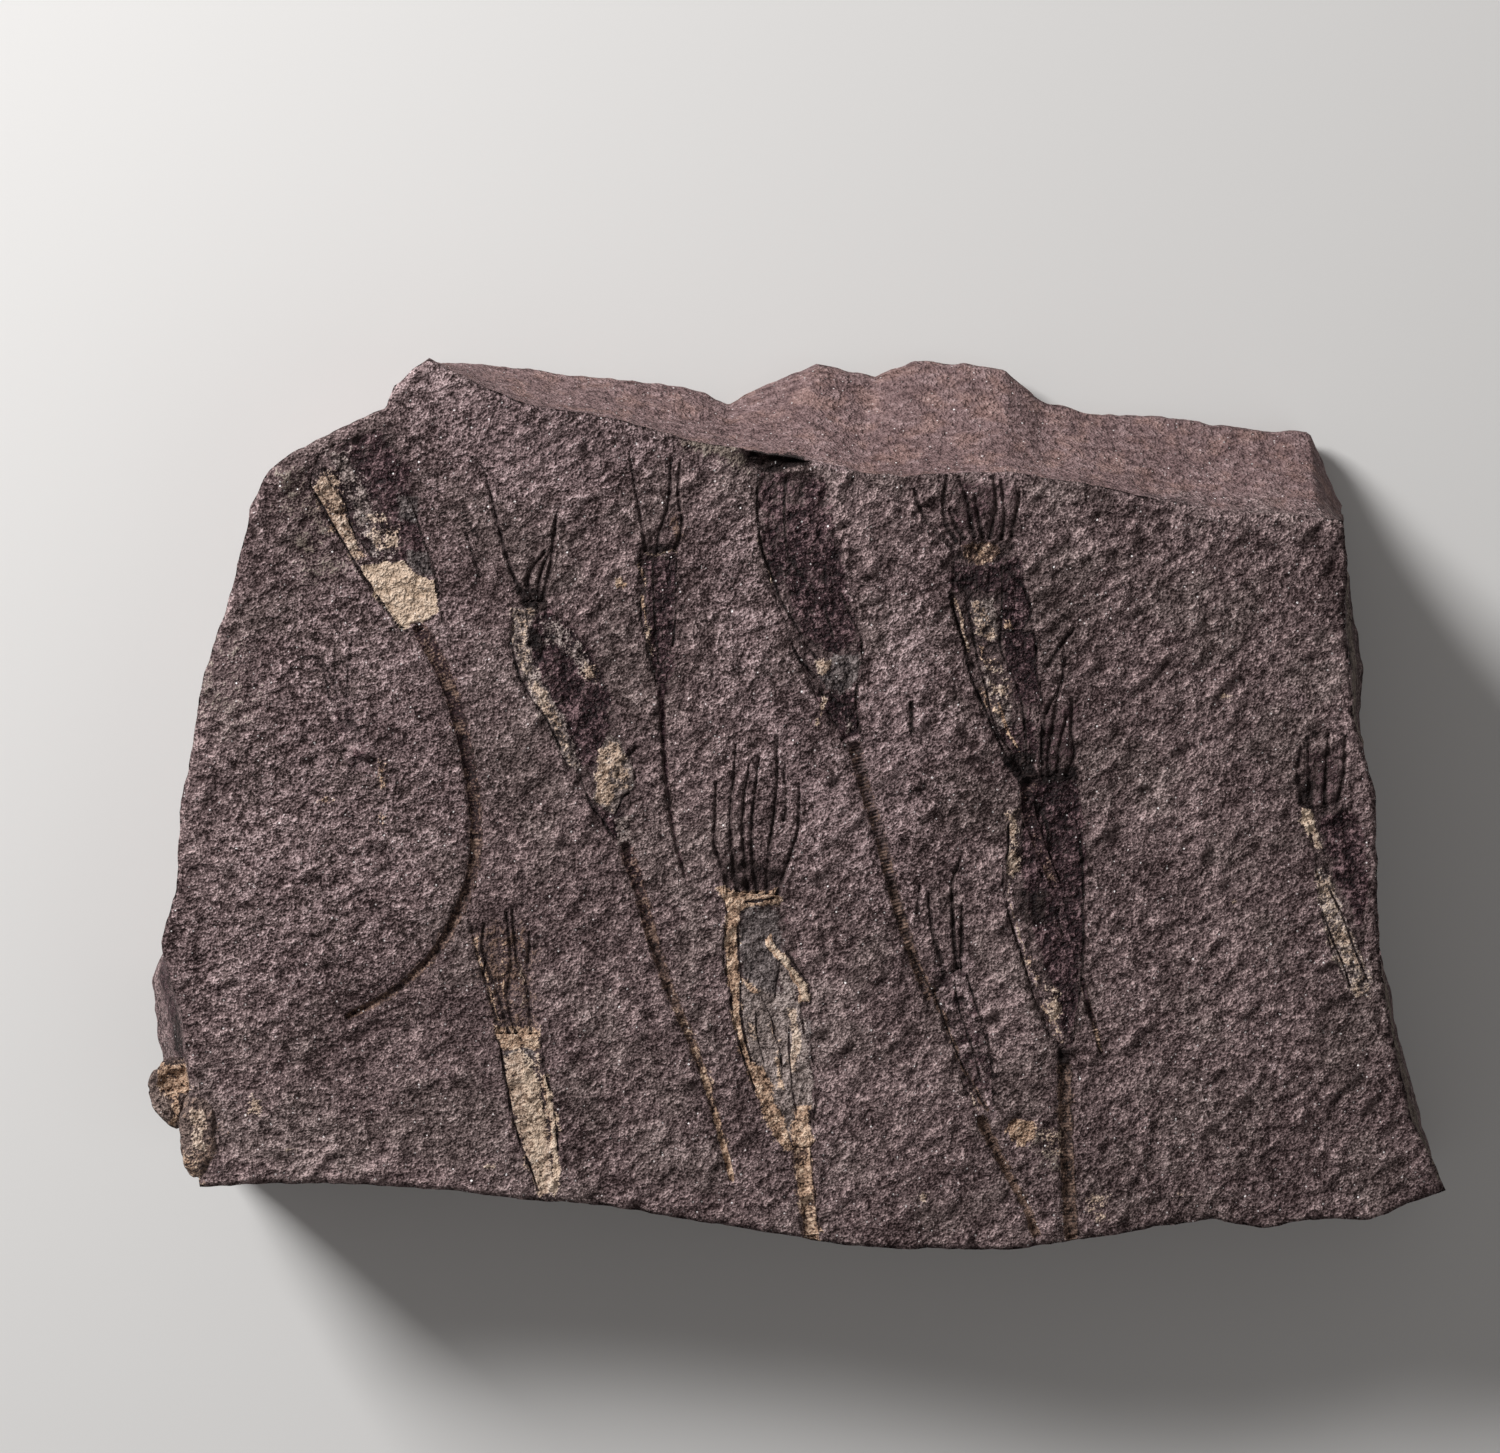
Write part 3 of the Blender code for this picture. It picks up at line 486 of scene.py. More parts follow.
# %% Outline of the face and of the back
OUTLINE = np.array((
    # left side, going up
    (-103.0, -66.5, -103.0, -64.0), (-104.5, -60.0, -107.0, -59.5), (-105.0, -52.0, -110.0, -52.5),
    (-105.0, -45.0, -113.0, -47.0), (-106.5, -36.0, -114.5, -37.5), (-108.5, -29.0, -115.0, -31.5),
    (-109.8, -24.5, -112.0, -26.0), (-107.3, -15.0, -109.5, -16.0), (-107.0, -8.0, -109.0, -8.0),
    (-106.3, 0.0, -108.0, 0.0), (-104.3, 10.0, -106.0, 10.0), (-103.0, 20.0, -104.5, 20.5),
    (-100.3, 29.0, -102.0, 30.0), (-98.5, 33.5, -100.5, 34.5), (-96.3, 42.0, -98.5, 43.0),
    (-94.0, 51.5, -96.0, 52.5), (-91.5, 57.0, -93.5, 58.0), (-88.0, 60.0, -89.5, 61.5),
    (-82.0, 63.0, -83.5, 64.5), (-76.0, 66.0, -77.5, 67.5), (-71.0, 68.0, -72.5, 69.5),
    (-69.5, 72.0, -70.5, 73.0), (-66.0, 75.0, -66.5, 76.5), (-63.5, 76.5, -61.5, 78.3),
    # the ridge between the face and the broken top side, going right
    (-54.7, 72.0, -53.0, 77.7), (-46.0, 68.5, -45.5, 77.1), (-38.0, 67.3, -37.5, 76.2),
    (-30.6, 66.0, -28.5, 75.2), (-18.5, 62.5, -18.5, 74.0), (-11.0, 61.3, -12.0, 71.2),
    (-4.0, 60.2, -5.0, 74.6), (2.0, 59.0, 3.4, 78.3), (10.0, 57.3, 13.8, 76.0),
    (18.0, 56.2, 21.0, 79.0), (28.0, 57.0, 29.5, 78.6), (36.6, 57.0, 37.0, 77.0),
    (43.5, 55.8, 44.0, 71.6), (52.0, 54.7, 54.2, 69.5), (61.0, 52.5, 63.0, 68.9),
    (72.0, 50.4, 73.0, 67.9), (83.0, 50.0, 83.0, 66.4), (90.0, 49.3, 91.5, 66.3),
    (94.0, 48.6, 97.0, 53.0),
    # right side, going down
    (95.0, 41.0, 98.0, 42.0), (94.5, 30.0, 100.0, 30.5), (95.5, 22.0, 101.3, 24.0),
    (96.0, 15.0, 100.3, 15.5), (98.0, 8.0, 101.0, 8.0), (99.8, 1.5, 102.0, 1.0),
    (100.0, -8.0, 102.5, -9.0), (100.2, -22.0, 103.0, -23.0), (101.0, -30.0, 105.3, -31.5),
    (103.0, -42.0, 108.0, -44.0), (106.0, -55.0, 111.5, -57.0), (110.5, -63.5, 113.5, -64.5),
    (112.0, -67.0, 112.0, -66.0),
    # the lower edge, going left
    (105.0, -69.5, 105.0, -67.0), (99.0, -72.0, 99.0, -70.0), (88.0, -72.0, 88.0, -70.0),
    (80.0, -73.5, 80.0, -70.5), (72.0, -71.8, 72.0, -70.5), (60.0, -73.5, 60.0, -71.0),
    (46.0, -76.0, 46.0, -73.0), (36.0, -77.2, 36.0, -73.5), (20.0, -77.0, 20.0, -74.5),
    (8.0, -76.5, 8.0, -74.0), (-3.0, -74.5, -3.0, -72.5), (-14.0, -72.8, -14.0, -70.0),
    (-25.0, -71.0, -25.0, -69.0), (-34.0, -69.4, -34.0, -67.5), (-48.0, -68.5, -48.0, -65.5),
    (-60.0, -67.0, -60.0, -65.5), (-76.0, -65.8, -76.0, -63.5), (-90.0, -65.7, -90.0, -63.5),
))
PLACES = len(OUTLINE)
TOP_LEFT, TOP_RIGHT, LOWER_RIGHT = 23, 42, 55   # corners, as places in OUTLINE; the lower left is 0
print("places on the outline:", PLACES)


# %% Points of the border
def on_outline(where, columns):
    """The outline at places that may lie between two typed ones."""
    ring = np.vstack([OUTLINE, OUTLINE[:1]])[:, columns]
    return np.stack([np.interp(where % PLACES, np.arange(PLACES + 1), ring[:, k]) for k in range(2)], axis=-1)


def evenly(first, last, count):
    """Places from one corner to another, an even distance apart along the face's edge."""
    fine = np.linspace(first, last, 2000)
    steps = np.linalg.norm(np.diff(on_outline(fine, [0, 1]), axis=0), axis=1)
    reach = np.concatenate([[0.0], np.cumsum(steps)])
    return np.interp(np.linspace(0.0, reach[-1], count + 1), reach, fine)


# %% [markdown]
# ## The rock
# A stone block could be sculpted freely, but its face has to carry hollows half a millimetre deep. So it
# starts as a flat grid. Its rim is extruded down in rings for the sides, and a coarser grid is bridged on
# for the back. Then every vertex moves to its place: the square turns into the slab's outline by blending
# its four edges. Faces near a fossil are subdivided once more before the moulds are carved.

# %% Grid, rings and back
COLUMNS, ROWS = 248, 172
COARSER = 4   # how many times wider the cells of the back are
RING_HEIGHTS = (35.0, 33.4, 31.5, 29.3, 27.0, 24.6, 22.1, 19.5, 16.8, 14.1, 11.4, 8.7, 6.2, 3.8, 1.8, 0.0)


def flat_grid(name, columns, rows):
    """A grid from -1 to 1 both ways."""
    start_clean()
    bpy.ops.mesh.primitive_grid_add(x_subdivisions=columns, y_subdivisions=rows, size=2.0)
    made = bpy.context.object
    made.name = name
    made.data.name = name
    return made


slab = flat_grid("slab_rock", COLUMNS, ROWS)
bpy.ops.object.mode_set(mode="EDIT")
bpy.ops.mesh.select_all(action="SELECT")
bpy.ops.mesh.region_to_loop()
for _ in RING_HEIGHTS:
    bpy.ops.mesh.extrude_edges_move(TRANSFORM_OT_translate={"value": (0.0, 0.0, -1.0)})
bpy.ops.object.mode_set(mode="OBJECT")
flat_grid("slab_back", COLUMNS // COARSER, ROWS // COARSER)
bpy.ops.transform.translate(value=(0.0, 0.0, -len(RING_HEIGHTS) - 1.0))
bpy.ops.object.transform_apply(location=True, rotation=False, scale=False)
bpy.ops.object.mode_set(mode="EDIT")
bpy.ops.mesh.select_all(action="SELECT")
bpy.ops.mesh.flip_normals()
bpy.ops.object.mode_set(mode="OBJECT")
slab.select_set(True)
bpy.context.view_layer.objects.active = slab
bpy.ops.object.join()
bpy.ops.object.mode_set(mode="EDIT")
bpy.ops.mesh.select_mode(type="EDGE")
bpy.ops.mesh.select_all(action="DESELECT")
bpy.ops.mesh.select_non_manifold(extend=False, use_wire=False, use_boundary=True, use_multi_face=False,
                                 use_non_contiguous=False, use_verts=False)
bpy.ops.mesh.bridge_edge_loops()
bpy.ops.object.mode_set(mode="OBJECT")
print("block:", len(slab.data.vertices), "vertices,", len(slab.data.polygons), "faces")


# %% Blend the four edges
def read_points(made):
    points = np.empty(len(made.data.vertices) * 3)
    made.data.vertices.foreach_get("co", points)
    return points.reshape(-1, 3)


def write_points(made, points):
    made.data.vertices.foreach_set("co", np.ascontiguousarray(points, np.float32).ravel())
    made.data.update()


EDGE_NOISE = 0.45   # mm, that the outline's small nicks go in and out


def wandering_edge(where, columns):
    """The outline with the small nicks of a broken edge."""
    points = on_outline(where, columns)
    x, y = points[:, 0], points[:, 1]
    nicks = np.stack([bumps_flat(x, y, 3.3, layer) + 0.5 * bumps_flat(x, y, 1.4, layer + 1.0)
                      for layer in (11.0, 13.0)], axis=1)
    return points + EDGE_NOISE * nicks


def blended(columns):
    """A function from (s, t), each 0 to 1, to the plane inside the outline."""
    left = evenly(0, TOP_LEFT, ROWS)
    top = evenly(TOP_LEFT, TOP_RIGHT, COLUMNS)
    right = evenly(LOWER_RIGHT, TOP_RIGHT, ROWS)
    lower = evenly(PLACES, LOWER_RIGHT, COLUMNS)
    edges = [wandering_edge(where, columns) for where in (left, right, lower, top)]

    def plane(s, t):
        u, v = s[:, None], t[:, None]
        at = [at_share(share, edge) for share, edge in zip((t, t, s, s), edges)]
        corners = ((1 - u) * (1 - v) * edges[2][0] + u * (1 - v) * edges[2][-1]
                   + (1 - u) * v * edges[3][0] + u * v * edges[3][-1])
        return (1 - u) * at[0] + u * at[1] + (1 - v) * at[2] + v * at[3] - corners

    return plane


face_plane, back_plane = blended([0, 1]), blended([2, 3])

# %% Move every vertex to its place
SHARES = ((36.0, 29.0, 22.0, 14.0, 5.0, 0.0), (0.0, 0.18, 0.40, 0.68, 1.0, 1.0))   # height, way to the back
HOLLOWED = 1.35           # above 1 the top side is concave
LEDGES = (((9.0, 9.0, 5.0), 0.0, 0.9), ((3.0, 3.0, 2.4), 7.0, 0.60))   # mm each way, layer, height in mm
LEDGE_FADE = ((0.0, 3.0, 33.0, 36.0), (0.3, 1.0, 1.0, 0.0))   # how rough a side is at heights in mm
TOP_ROUGHNESS = 0.7       # the same, of the top side against the others
SIDE_INSET = 0.35         # mm, that the sides stay inside the outline
BACK_CHIP = (3.0, 5.0)    # mm, that the back's edge is chipped away, and up to which height
BACK_SHRUNK = 0.955       # the back's size against its outline
BACK_LUMPS = (8.0, 0.45)  # mm across, height

crude = read_points(slab)
s, t = (crude[:, 0] + 1) / 2, (crude[:, 1] + 1) / 2
ring = np.round(-crude[:, 2]).astype(int)
on_side = (ring > 0) & (ring <= len(RING_HEIGHTS))
on_back = ring > len(RING_HEIGHTS)
heights = np.array((THICKNESS,) + RING_HEIGHTS + (0.0,))[ring]
face_xy, back_xy = face_plane(s, t), back_plane(s, t)
top_side = on_side & (t > 0.999)
way = np.interp(-heights, -np.array(SHARES[0]), SHARES[1])
way = np.where(top_side, way**HOLLOWED, way)
flat_xy = face_xy + (back_xy - face_xy) * way[:, None]
middle_xy = (face_xy - face_xy.mean(axis=0)) * (1.0, 1.3)
out_xy = middle_xy / np.linalg.norm(middle_xy, axis=1)[:, None]
out_xy = np.where(top_side[:, None], (0.0, 1.0), out_xy)
deep = np.stack([flat_xy[:, 0], flat_xy[:, 1], heights], axis=1)
rough = sum(height * bumps(deep / size + layer) for size, layer, height in LEDGES)
rough *= np.interp(heights, *LEDGE_FADE) * np.where(top_side, TOP_ROUGHNESS, 1.0)
chip = BACK_CHIP[0] * np.clip((BACK_CHIP[1] - heights) / BACK_CHIP[1], 0.0, 1.0) ** 1.5
flat_xy = flat_xy + out_xy * np.where(on_side, rough - SIDE_INSET - chip, 0.0)[:, None]
shrunk = (back_xy - back_xy.mean(axis=0)) * BACK_SHRUNK + back_xy.mean(axis=0)
flat_xy[on_back] = shrunk[on_back]
edge_in = np.minimum(np.minimum(s, 1 - s), np.minimum(t, 1 - t))[on_back]
back_rise = BACK_LUMPS[1] * (bumps_flat(*shrunk[on_back].T, BACK_LUMPS[0], 21.0) + 0.5)
heights[on_back] = np.clip(back_rise, 0.0, 1.0) * step_up(edge_in / 0.03)
placed = metres(flat_xy[:, 0], flat_xy[:, 1], heights)
write_points(slab, placed)
print("slab in mm:", np.ptp(placed, axis=0).round(4) / MM)

# %% Finer faces near the fossils
FINER_REACH = (0.85, 0.5)   # mm from a line, for the first cut and the second


def faces_near(lines, reach):
    """Which faces of the fossil face lie near one of the lines."""
    centres = np.empty(len(slab.data.polygons) * 3)
    slab.data.polygons.foreach_get("center", centres)
    centres = centres.reshape(-1, 3) / MM
    flat = centres[:, :2] + CENTRE
    chosen = np.zeros(len(flat), bool)
    for line in lines:
        near = around(flat, line, reach) & (centres[:, 2] > THICKNESS - 0.1)
        gap, _ = near_line(flat[near], line)
        chosen[np.flatnonzero(near)[gap < reach]] = True
    return chosen


def make_finer(chosen):
    """Cut each chosen face in four."""
    bpy.ops.object.mode_set(mode="EDIT")
    bpy.ops.mesh.select_mode(type="FACE")
    bpy.ops.mesh.select_all(action="DESELECT")
    bpy.ops.object.mode_set(mode="OBJECT")
    slab.data.polygons.foreach_set("select", chosen)
    bpy.ops.object.mode_set(mode="EDIT")
    bpy.ops.mesh.subdivide(number_cuts=1)
    bpy.ops.object.mode_set(mode="OBJECT")
    print("faces made finer:", int(chosen.sum()), "now", len(slab.data.polygons))


select_only(slab)
cup_lines = [np.vstack([border, border[:1]]) for border in BORDERS.values()]
groove_lines = [groove[0] for groove in GROOVES]
make_finer(faces_near(cup_lines + groove_lines, FINER_REACH[0]))
make_finer(faces_near(groove_lines, FINER_REACH[1]))

# %% [markdown]
# ## Coloured minerals
# What colours the moulds are thin coats of minerals: a purple-black film, cream clay, rusty iron crust and
# a blue-grey film. Each coat is typed as a few patches and lines. Every piece is painted from the same
# lists: each vertex gets how much of each coat it has, and the material breaks the coat's edge into
# grains. So a stain runs on from a film to the rock beside it without a seam. Two patches paint light
# and shade with these coats: a grey strip lightens the right side, which faces away from the key lamp,
# and black in the notch's pit is partly painted shade of its overhang.

# %% Places that two coats share
LOWER_CUP_11 = (89.2, -11, 91.8, -13, 94.4, -19, 96.6, -24.5, 98.8, -30, 98.8, -34, 96, -33.4, 92.4, -27, 90.4, -20)
LEFT_OF_CUP_6 = (36.8, -13, 36.6, -17, 37.6, -21.5, 40.4, -29.4, 43, -35, 45.4, -40.3)
LEFT_OF_CUP_7 = (19.6, -25.8, 21.6, -30, 24.1, -34.2, 25.6, -38.6, 27.5, -43.2, 29.8, -48, 32.5, -52.7)

# %% Patches: softness of the edge in mm, strength, corners
PATCHES = {
    "dark": (
        (1.6, 0.80, (-79, 62, -73, 64, -67, 58, -65.8, 52, -64.8, 46, -63.3, 41, -67, 40.6, -73, 41, -76.5, 46,
                     -79, 52, -81, 57)),
        (0.9, 1.00, (-46.5, 30, -43, 33.5, -39, 30, -34.5, 24.5, -32.3, 18, -33, 12, -35, 7, -37.5, 6, -40, 10,
                     -43.5, 17, -46, 24)),
        (0.9, 0.95, (-36, -1, -31, -1.5, -29, -5, -30, -8, -33, -4)),
        (0.8, 0.85, (-26, 42.3, -20.9, 42.3, -21.2, 28, -22.3, 19, -24, 18, -25.2, 24, -26, 32)),
        (1.1, 0.66, (-6.6, 57, -2, 57, -1.6, 44, -3, 38, -6, 42)),
        (1.4, 0.66, (-4.5, 57, 5, 56, 6.2, 49, -5, 49)),
        (0.9, 1.00, (-1.6, 50, 5.6, 50, 6.6, 45, 8.6, 36, 10.8, 28, 6, 26, 2, 28, -1.5, 35, -3.4, 42)),
        (1.0, 0.92, (3.5, 19, 10, 19, 10.8, 12, 8, 10.5, 5, 15)),
        (0.5, 1.20, (35.3, 38.5, 39.2, 37.6, 40.3, 32.9, 38.8, 29.6, 41.1, 28.8, 41, 24, 41.4, 17, 38.2, 17.5,
                     36.4, 23, 35.4, 32)),
        (0.9, 0.84, (26.5, 41.8, 38.6, 41.8, 38.6, 36.6, 27, 36.6)),
        (0.9, 0.75, (34.2, 14, 41.6, 14, 41.2, 5, 38.2, 4)),
        (0.8, 1.15, (39.5, 3.5, 48.3, 4.5, 49.3, -10, 49.2, -25, 47.5, -41, 45.6, -39, 43.2, -30, 40, -20,
                     38.4, -10)),
        (1.0, 0.30, (24, -30, 29, -29.5, 32, -38, 33.4, -50, 31, -52, 28, -45, 25, -37)),
        (1.0, 0.36, (-81, 18, -77.5, 18, -75, 12, -74.2, 5.5, -76.6, 5, -79.5, 12)),
        (0.9, 0.95, (90.2, -2, 96.8, -2, 98.6, -15, 97.2, -22, 94.5, -16, 91.4, -8)),
        (1.6, 0.42, (25.6, 56, 38.4, 55, 37.4, 46, 27, 46)),
        (1.2, 0.45, (86.6, 9, 94.4, 10.5, 93, 0, 87, 0)),
        (1.4, 0.50, (41.6, 16, 48, 17, 47.8, 4.6, 41.8, 4.4)),
        (1.5, 0.62, (-112.4, -29, -109.6, -25.4, -107.4, -34, -106, -44, -110.5, -46, -113, -38)),
    ),
    "black": (
        (0.6, 0.95, (-48.6, 36.6, -44, 37, -43.2, 33.6, -47.6, 33.4)),
        (0.6, 1.20, (34.8, 8.6, 40.9, 8.2, 41.4, 4.2, 38.5, 2.8)),
        (0.6, 1.10, (42, 6, 48.3, 6.4, 48.6, 3.6, 42, 3.2)),
        (0.8, 0.66, (37.9, -14.8, 43.2, -15.2, 43, -20.6, 38.6, -21)),
        (0.5, 0.85, (45, -42.4, 47.4, -42.4, 47.4, -45.6, 45, -45.6)),
        (0.4, 0.70, (95, 27, 96.4, 27, 96.5, 23, 95.2, 23)),
        (1.4, 0.56, (-13.6, -9.6, -3.2, -10.2, -2.6, -15.4, -13.6, -14.6)),
        # The next patch blackens the notch's pit: partly its dark stone, partly painted shade of the overhang that
        # the shallow pit lacks.
        (0.6, 1.25, (-9, 60.6, -4, 61.8, 0.8, 60.6, 1.8, 58.8, -1.4, 58.2, -3.4, 57, -6.2, 57.2, -8.4, 58.4)),
        (0.8, 0.75, (-109, -36.5, -107, -37, -106.6, -42, -107.6, -44.4, -109.4, -43)),
        (0.4, 0.80, (1.6, 62.8, 2.6, 62.8, 2.6, 62, 1.6, 62)),
        (0.4, 0.80, (23.6, 59.3, 24.4, 59.3, 24.4, 58.7, 23.6, 58.7)),
        (0.5, 0.70, (-27.6, 44.4, -20.4, 44.6, -20.6, 43.2, -27.4, 42.9)),
        (0.5, 0.75, (86.6, -0.8, 88, -1.2, 89.6, 3.0, 87.8, 4.6, 86.2, 2.2)),
        (0.5, 0.85, (-46.4, 30, -43.8, 29, -44.2, 25.8, -46.6, 27)),
    ),
    "slate": (
        (1.2, 0.52, (-74, 42.5, -69, 41.8, -68.6, 46, -72, 50, -74.6, 46)),
        (0.8, 1.00, (-67.6, 43.2, -63.6, 42.8, -62.7, 39.6, -66.4, 39.4)),
        (0.7, 1.10, (-68.9, 52.8, -65.8, 53, -65.4, 48.7, -68.4, 48.7)),
        (0.6, 1.10, (5.6, 24.8, 8.4, 25.8, 10.7, 25.2, 10.6, 21.5, 9.4, 20, 7.4, 18.8, 4.4, 19.8, 3.6, 22)),
        (1.2, 1.00, (-10.6, -18, -3.6, -18.4, -2, -24, -2.6, -29.5, -3.6, -34.5, -7, -33, -9.8, -30)),
        (1.0, 0.75, (-2.6, -36, 2.6, -37, 2.8, -52, 0.8, -52, 1.4, -42)),
        (0.9, 0.60, (-47.5, -44, -45, -44, -44, -52, -46, -52)),
        (0.6, 0.80, (-50.6, -42.8, -45.1, -42.6, -45.1, -44.8, -50.2, -45.1)),
    ),
    "ash": (
        (1.3, 1.05, (-10.2, -31, -4, -33, 0.6, -34.5, 2.0, -44, 2.8, -52, 1.6, -59, -3, -58, -6.6, -50, -9, -41)),
        (0.6, 0.80, (-3.4, -27.2, -2, -27.2, 0.2, -32.6, -0.4, -36, -2.8, -33)),
        (1.2, 0.62, (-81, 60.5, -77.5, 61, -73, 51, -69, 45, -71, 41.4, -76, 47)),
        (1.0, 0.56, (31, 24, 36, 24, 37.4, 13, 34.5, 12)),
        (0.6, 0.90, (30, 35, 33.6, 35.1, 34.6, 32, 34.3, 28.4, 30.6, 28.6)),
        (0.8, 0.95, (-49.3, 33.4, -46.2, 34.3, -45.2, 33, -46.4, 29, -46, 24, -43, 19.5, -40, 13.5, -37, 5,
                     -39.4, 6, -43.6, 14, -46.8, 19.5, -49.4, 27)),
        (1.0, 0.56, (-44.4, 32, -41, 31.6, -37, 27, -34, 22.6, -34.8, 20.6, -37.6, 23, -41, 26.6, -44.6, 28.6)),
        (0.6, 0.95, LOWER_CUP_11),
        (0.5, 0.80, (-31.6, -2.6, -28.6, -2.4, -28.4, -6.6, -31, -7)),
        (0.35, 1.60, (-33.2, 11.2, -30.6, 10.9, -29.2, 7.5, -28.3, 5, -28.5, 2.4, -30.5, 1.5, -31, -0.6, -32, -1.7,
                      -35.6, 0.2, -34.4, 3.2, -34.1, 9)),
        (0.5, 0.70, (8, 14.6, 9.2, 14.4, 9.4, 12.2, 8.6, 12)),
    ),
    "clay": (
        (0.35, 1.50, (-75.8, 41.1, -73, 40.9, -68, 41.3, -66.5, 39.6, -62.8, 38.5, -62.2, 35.5, -61.8, 33.4,
                      -63.5, 31.6, -66.5, 30.9, -68, 30.2, -69.6, 31.4, -72.1, 34.6)),
        (0.5, 0.75, (-47.6, -44, -45.6, -44, -44, -52, -43.4, -60, -43.6, -67, -45, -66, -47, -55)),
        (0.4, 1.20, (-43.9, -47, -43, -47, -41.5, -55, -41.1, -61.5, -41.8, -68, -42.6, -67, -42.2, -60,
                     -42.8, -54)),
        (0.45, 1.30, (-4.6, -23.4, -3.8, -25.4, -2.1, -26.2, -0.8, -28.2, 0.4, -30, 1.6, -31.8, 1.9, -33.8,
                      1, -34.4, 0.6, -32.2, -0.9, -30.4, -1.7, -28.2, -3.2, -26.7, -4.6, -25)),
        (0.4, 1.00, (87, -1, 88.8, -1.2, 89.6, -4.2, 88.4, -5.4, 87.2, -3.6)),
    ),
    "cream": (
        (0.9, 0.70, (-81.8, 57.5, -79.9, 56.6, -77.9, 50.6, -76.4, 46.4, -75.2, 42.6, -76.4, 41.2, -80.6, 48.5,
                     -84, 54.8)),
        (0.9, 0.50, (-49.3, 33.4, -46.2, 34.3, -45.2, 33, -46.6, 29, -46.4, 24, -43.4, 19.5, -40.6, 13.5,
                     -37.6, 6, -39.4, 6.4, -43.2, 14, -46.6, 19.5, -49.3, 27)),
        (0.8, 0.90, (-34.4, 9, -32.4, 8.5, -31.6, 2.4, -32, -1.2, -35, 0.2, -34.6, 3.2)),
        (0.6, 0.56, (-33, 10.6, -30.6, 10.5, -28.9, 6, -29, 2.8, -31.2, 1.6, -33, 3)),
        (0.8, 0.62, (-37.2, 24.4, -34.2, 24, -34, 21, -36.6, 21.4)),
        (0.8, 0.80, (-26.6, 30, -25.2, 30.4, -24.8, 26, -25.8, 26.4)),
        (0.5, 0.80, (3.4, 24.6, 5.8, 24.4, 6, 22.4, 3.8, 22.1)),
        (0.5, 0.48, (30.2, 34.6, 31.8, 35.2, 33, 32.5, 34.3, 29, 33, 28, 30.4, 29)),
        (0.5, 0.52, (32.8, 23.6, 35.4, 23.4, 36.8, 20, 36.2, 18, 33.4, 18.6)),
        (0.8, 0.66, (36.5, -2, 38, -1.6, 38.6, -12, 36.2, -13)),
        (0.4, 0.90, (73.2, 19.2, 74.2, 19, 74.1, 18, 73.3, 18)),
        (0.4, 0.80, (75, -16.6, 75.9, -16.7, 75.8, -17.6, 75, -17.5)),
        (0.4, 0.80, (65.3, -66.5, 66.2, -66.6, 66.1, -67.4, 65.3, -67.3)),
        (0.5, 0.85, (-1.8, -35.8, -0.2, -36, 0.4, -41, 0.2, -46.5, -1.4, -46.5, -1.2, -40)),
        (0.5, 0.62, (-8.8, -37.6, -6.8, -38, -6.6, -41, -8, -41)),
        (0.8, 1.10, (-50.6, -44, -47.5, -43, -45.4, -47, -43.8, -54, -42.6, -60, -42.6, -68, -45, -67.5,
                     -48.6, -55)),
        (0.8, 0.85, (87, -1, 88.8, -1.4, 90.4, -8, 89, -7.5)),
        (0.8, 0.52, LOWER_CUP_11),
        (0.8, 0.50, (-105, -53, -102.6, -52.6, -101.6, -57, -102.4, -60, -104.8, -59.4)),
        (0.6, 1.00, (-95, -51.4, -93.6, -50.9, -92.2, -51.4, -92, -53, -93.4, -54, -95, -53.4)),
        (0.5, 0.60, (43.2, -31.5, 45.2, -31.5, 45.4, -38.5, 44, -38.5)),
        (1.0, 0.46, (49.3, -67.5, 53.7, -68, 53.4, -71.9, 49.6, -71.6)),
        (1.2, 0.50, (42, -55.5, 46, -56.5, 46, -61, 42, -60)),
        (0.4, 0.80, (-88.4, -59.2, -87.2, -59.3, -87.2, -60.2, -88.3, -60.2)),
        (0.9, 0.52, (-74, 50, -71, 50.4, -68.8, 47, -68.6, 43.4, -72, 43, -74, 46)),
        (0.6, 0.80, (20.8, -66.9, 22.2, -67, 22.1, -68.2, 20.9, -68.1)),
        (0.6, 0.70, (-53.8, -62.4, -52.4, -62.5, -52.4, -63.6, -53.6, -63.6)),
    ),
    "rust": (
        (0.9, 0.85, (-84, 54.6, -81.4, 57, -79.2, 54, -76, 45, -74.6, 42.6, -76.4, 41.6, -80.6, 48)),
        (0.5, 0.34, (28.9, 44, 31, 44.4, 33.6, 44.3, 34.2, 43, 33.4, 41.6, 31, 41.4, 29.2, 41.8)),
        (0.5, 0.60, (35.6, 31.4, 36.6, 31.6, 36.8, 29.8, 35.8, 29.6)),
        (0.8, 0.32, (32.4, 25.4, 35.4, 25, 37.4, 20, 37.2, 17, 35, 16.6, 33.6, 20)),
        (0.8, 0.46, (31.6, 19.6, 33.6, 19.4, 34.6, 15.6, 32.2, 16)),
        (0.9, 0.36, (38, -25, 39.3, -25, 42, -29.5, 44, -33.5, 45.9, -40.5, 44.3, -41, 41, -33, 38.6, -28)),
        (0.5, 1.45, (-14.4, -14.4, -11, -15, -8.4, -15.2, -3.4, -14.8, -3.2, -17.6, -8.4, -17.9, -10.6, -19.4,
                     -12, -19, -12.4, -16.8)),
        (0.6, 1.20, (-12.2, -18.4, -10.5, -18.4, -10.3, -25, -9.9, -31, -9.9, -36, -9.4, -39.5, -8, -44, -8.8, -46,
                     -10.4, -41, -11.2, -37, -11.5, -33, -12.6, -28, -12.6, -22)),
        (0.7, 1.25, (-8.8, -45, -6, -45.5, -4.2, -50, -2.4, -54, -0.8, -60, -2, -60.5, -4.8, -55.5, -7.2, -50.5)),
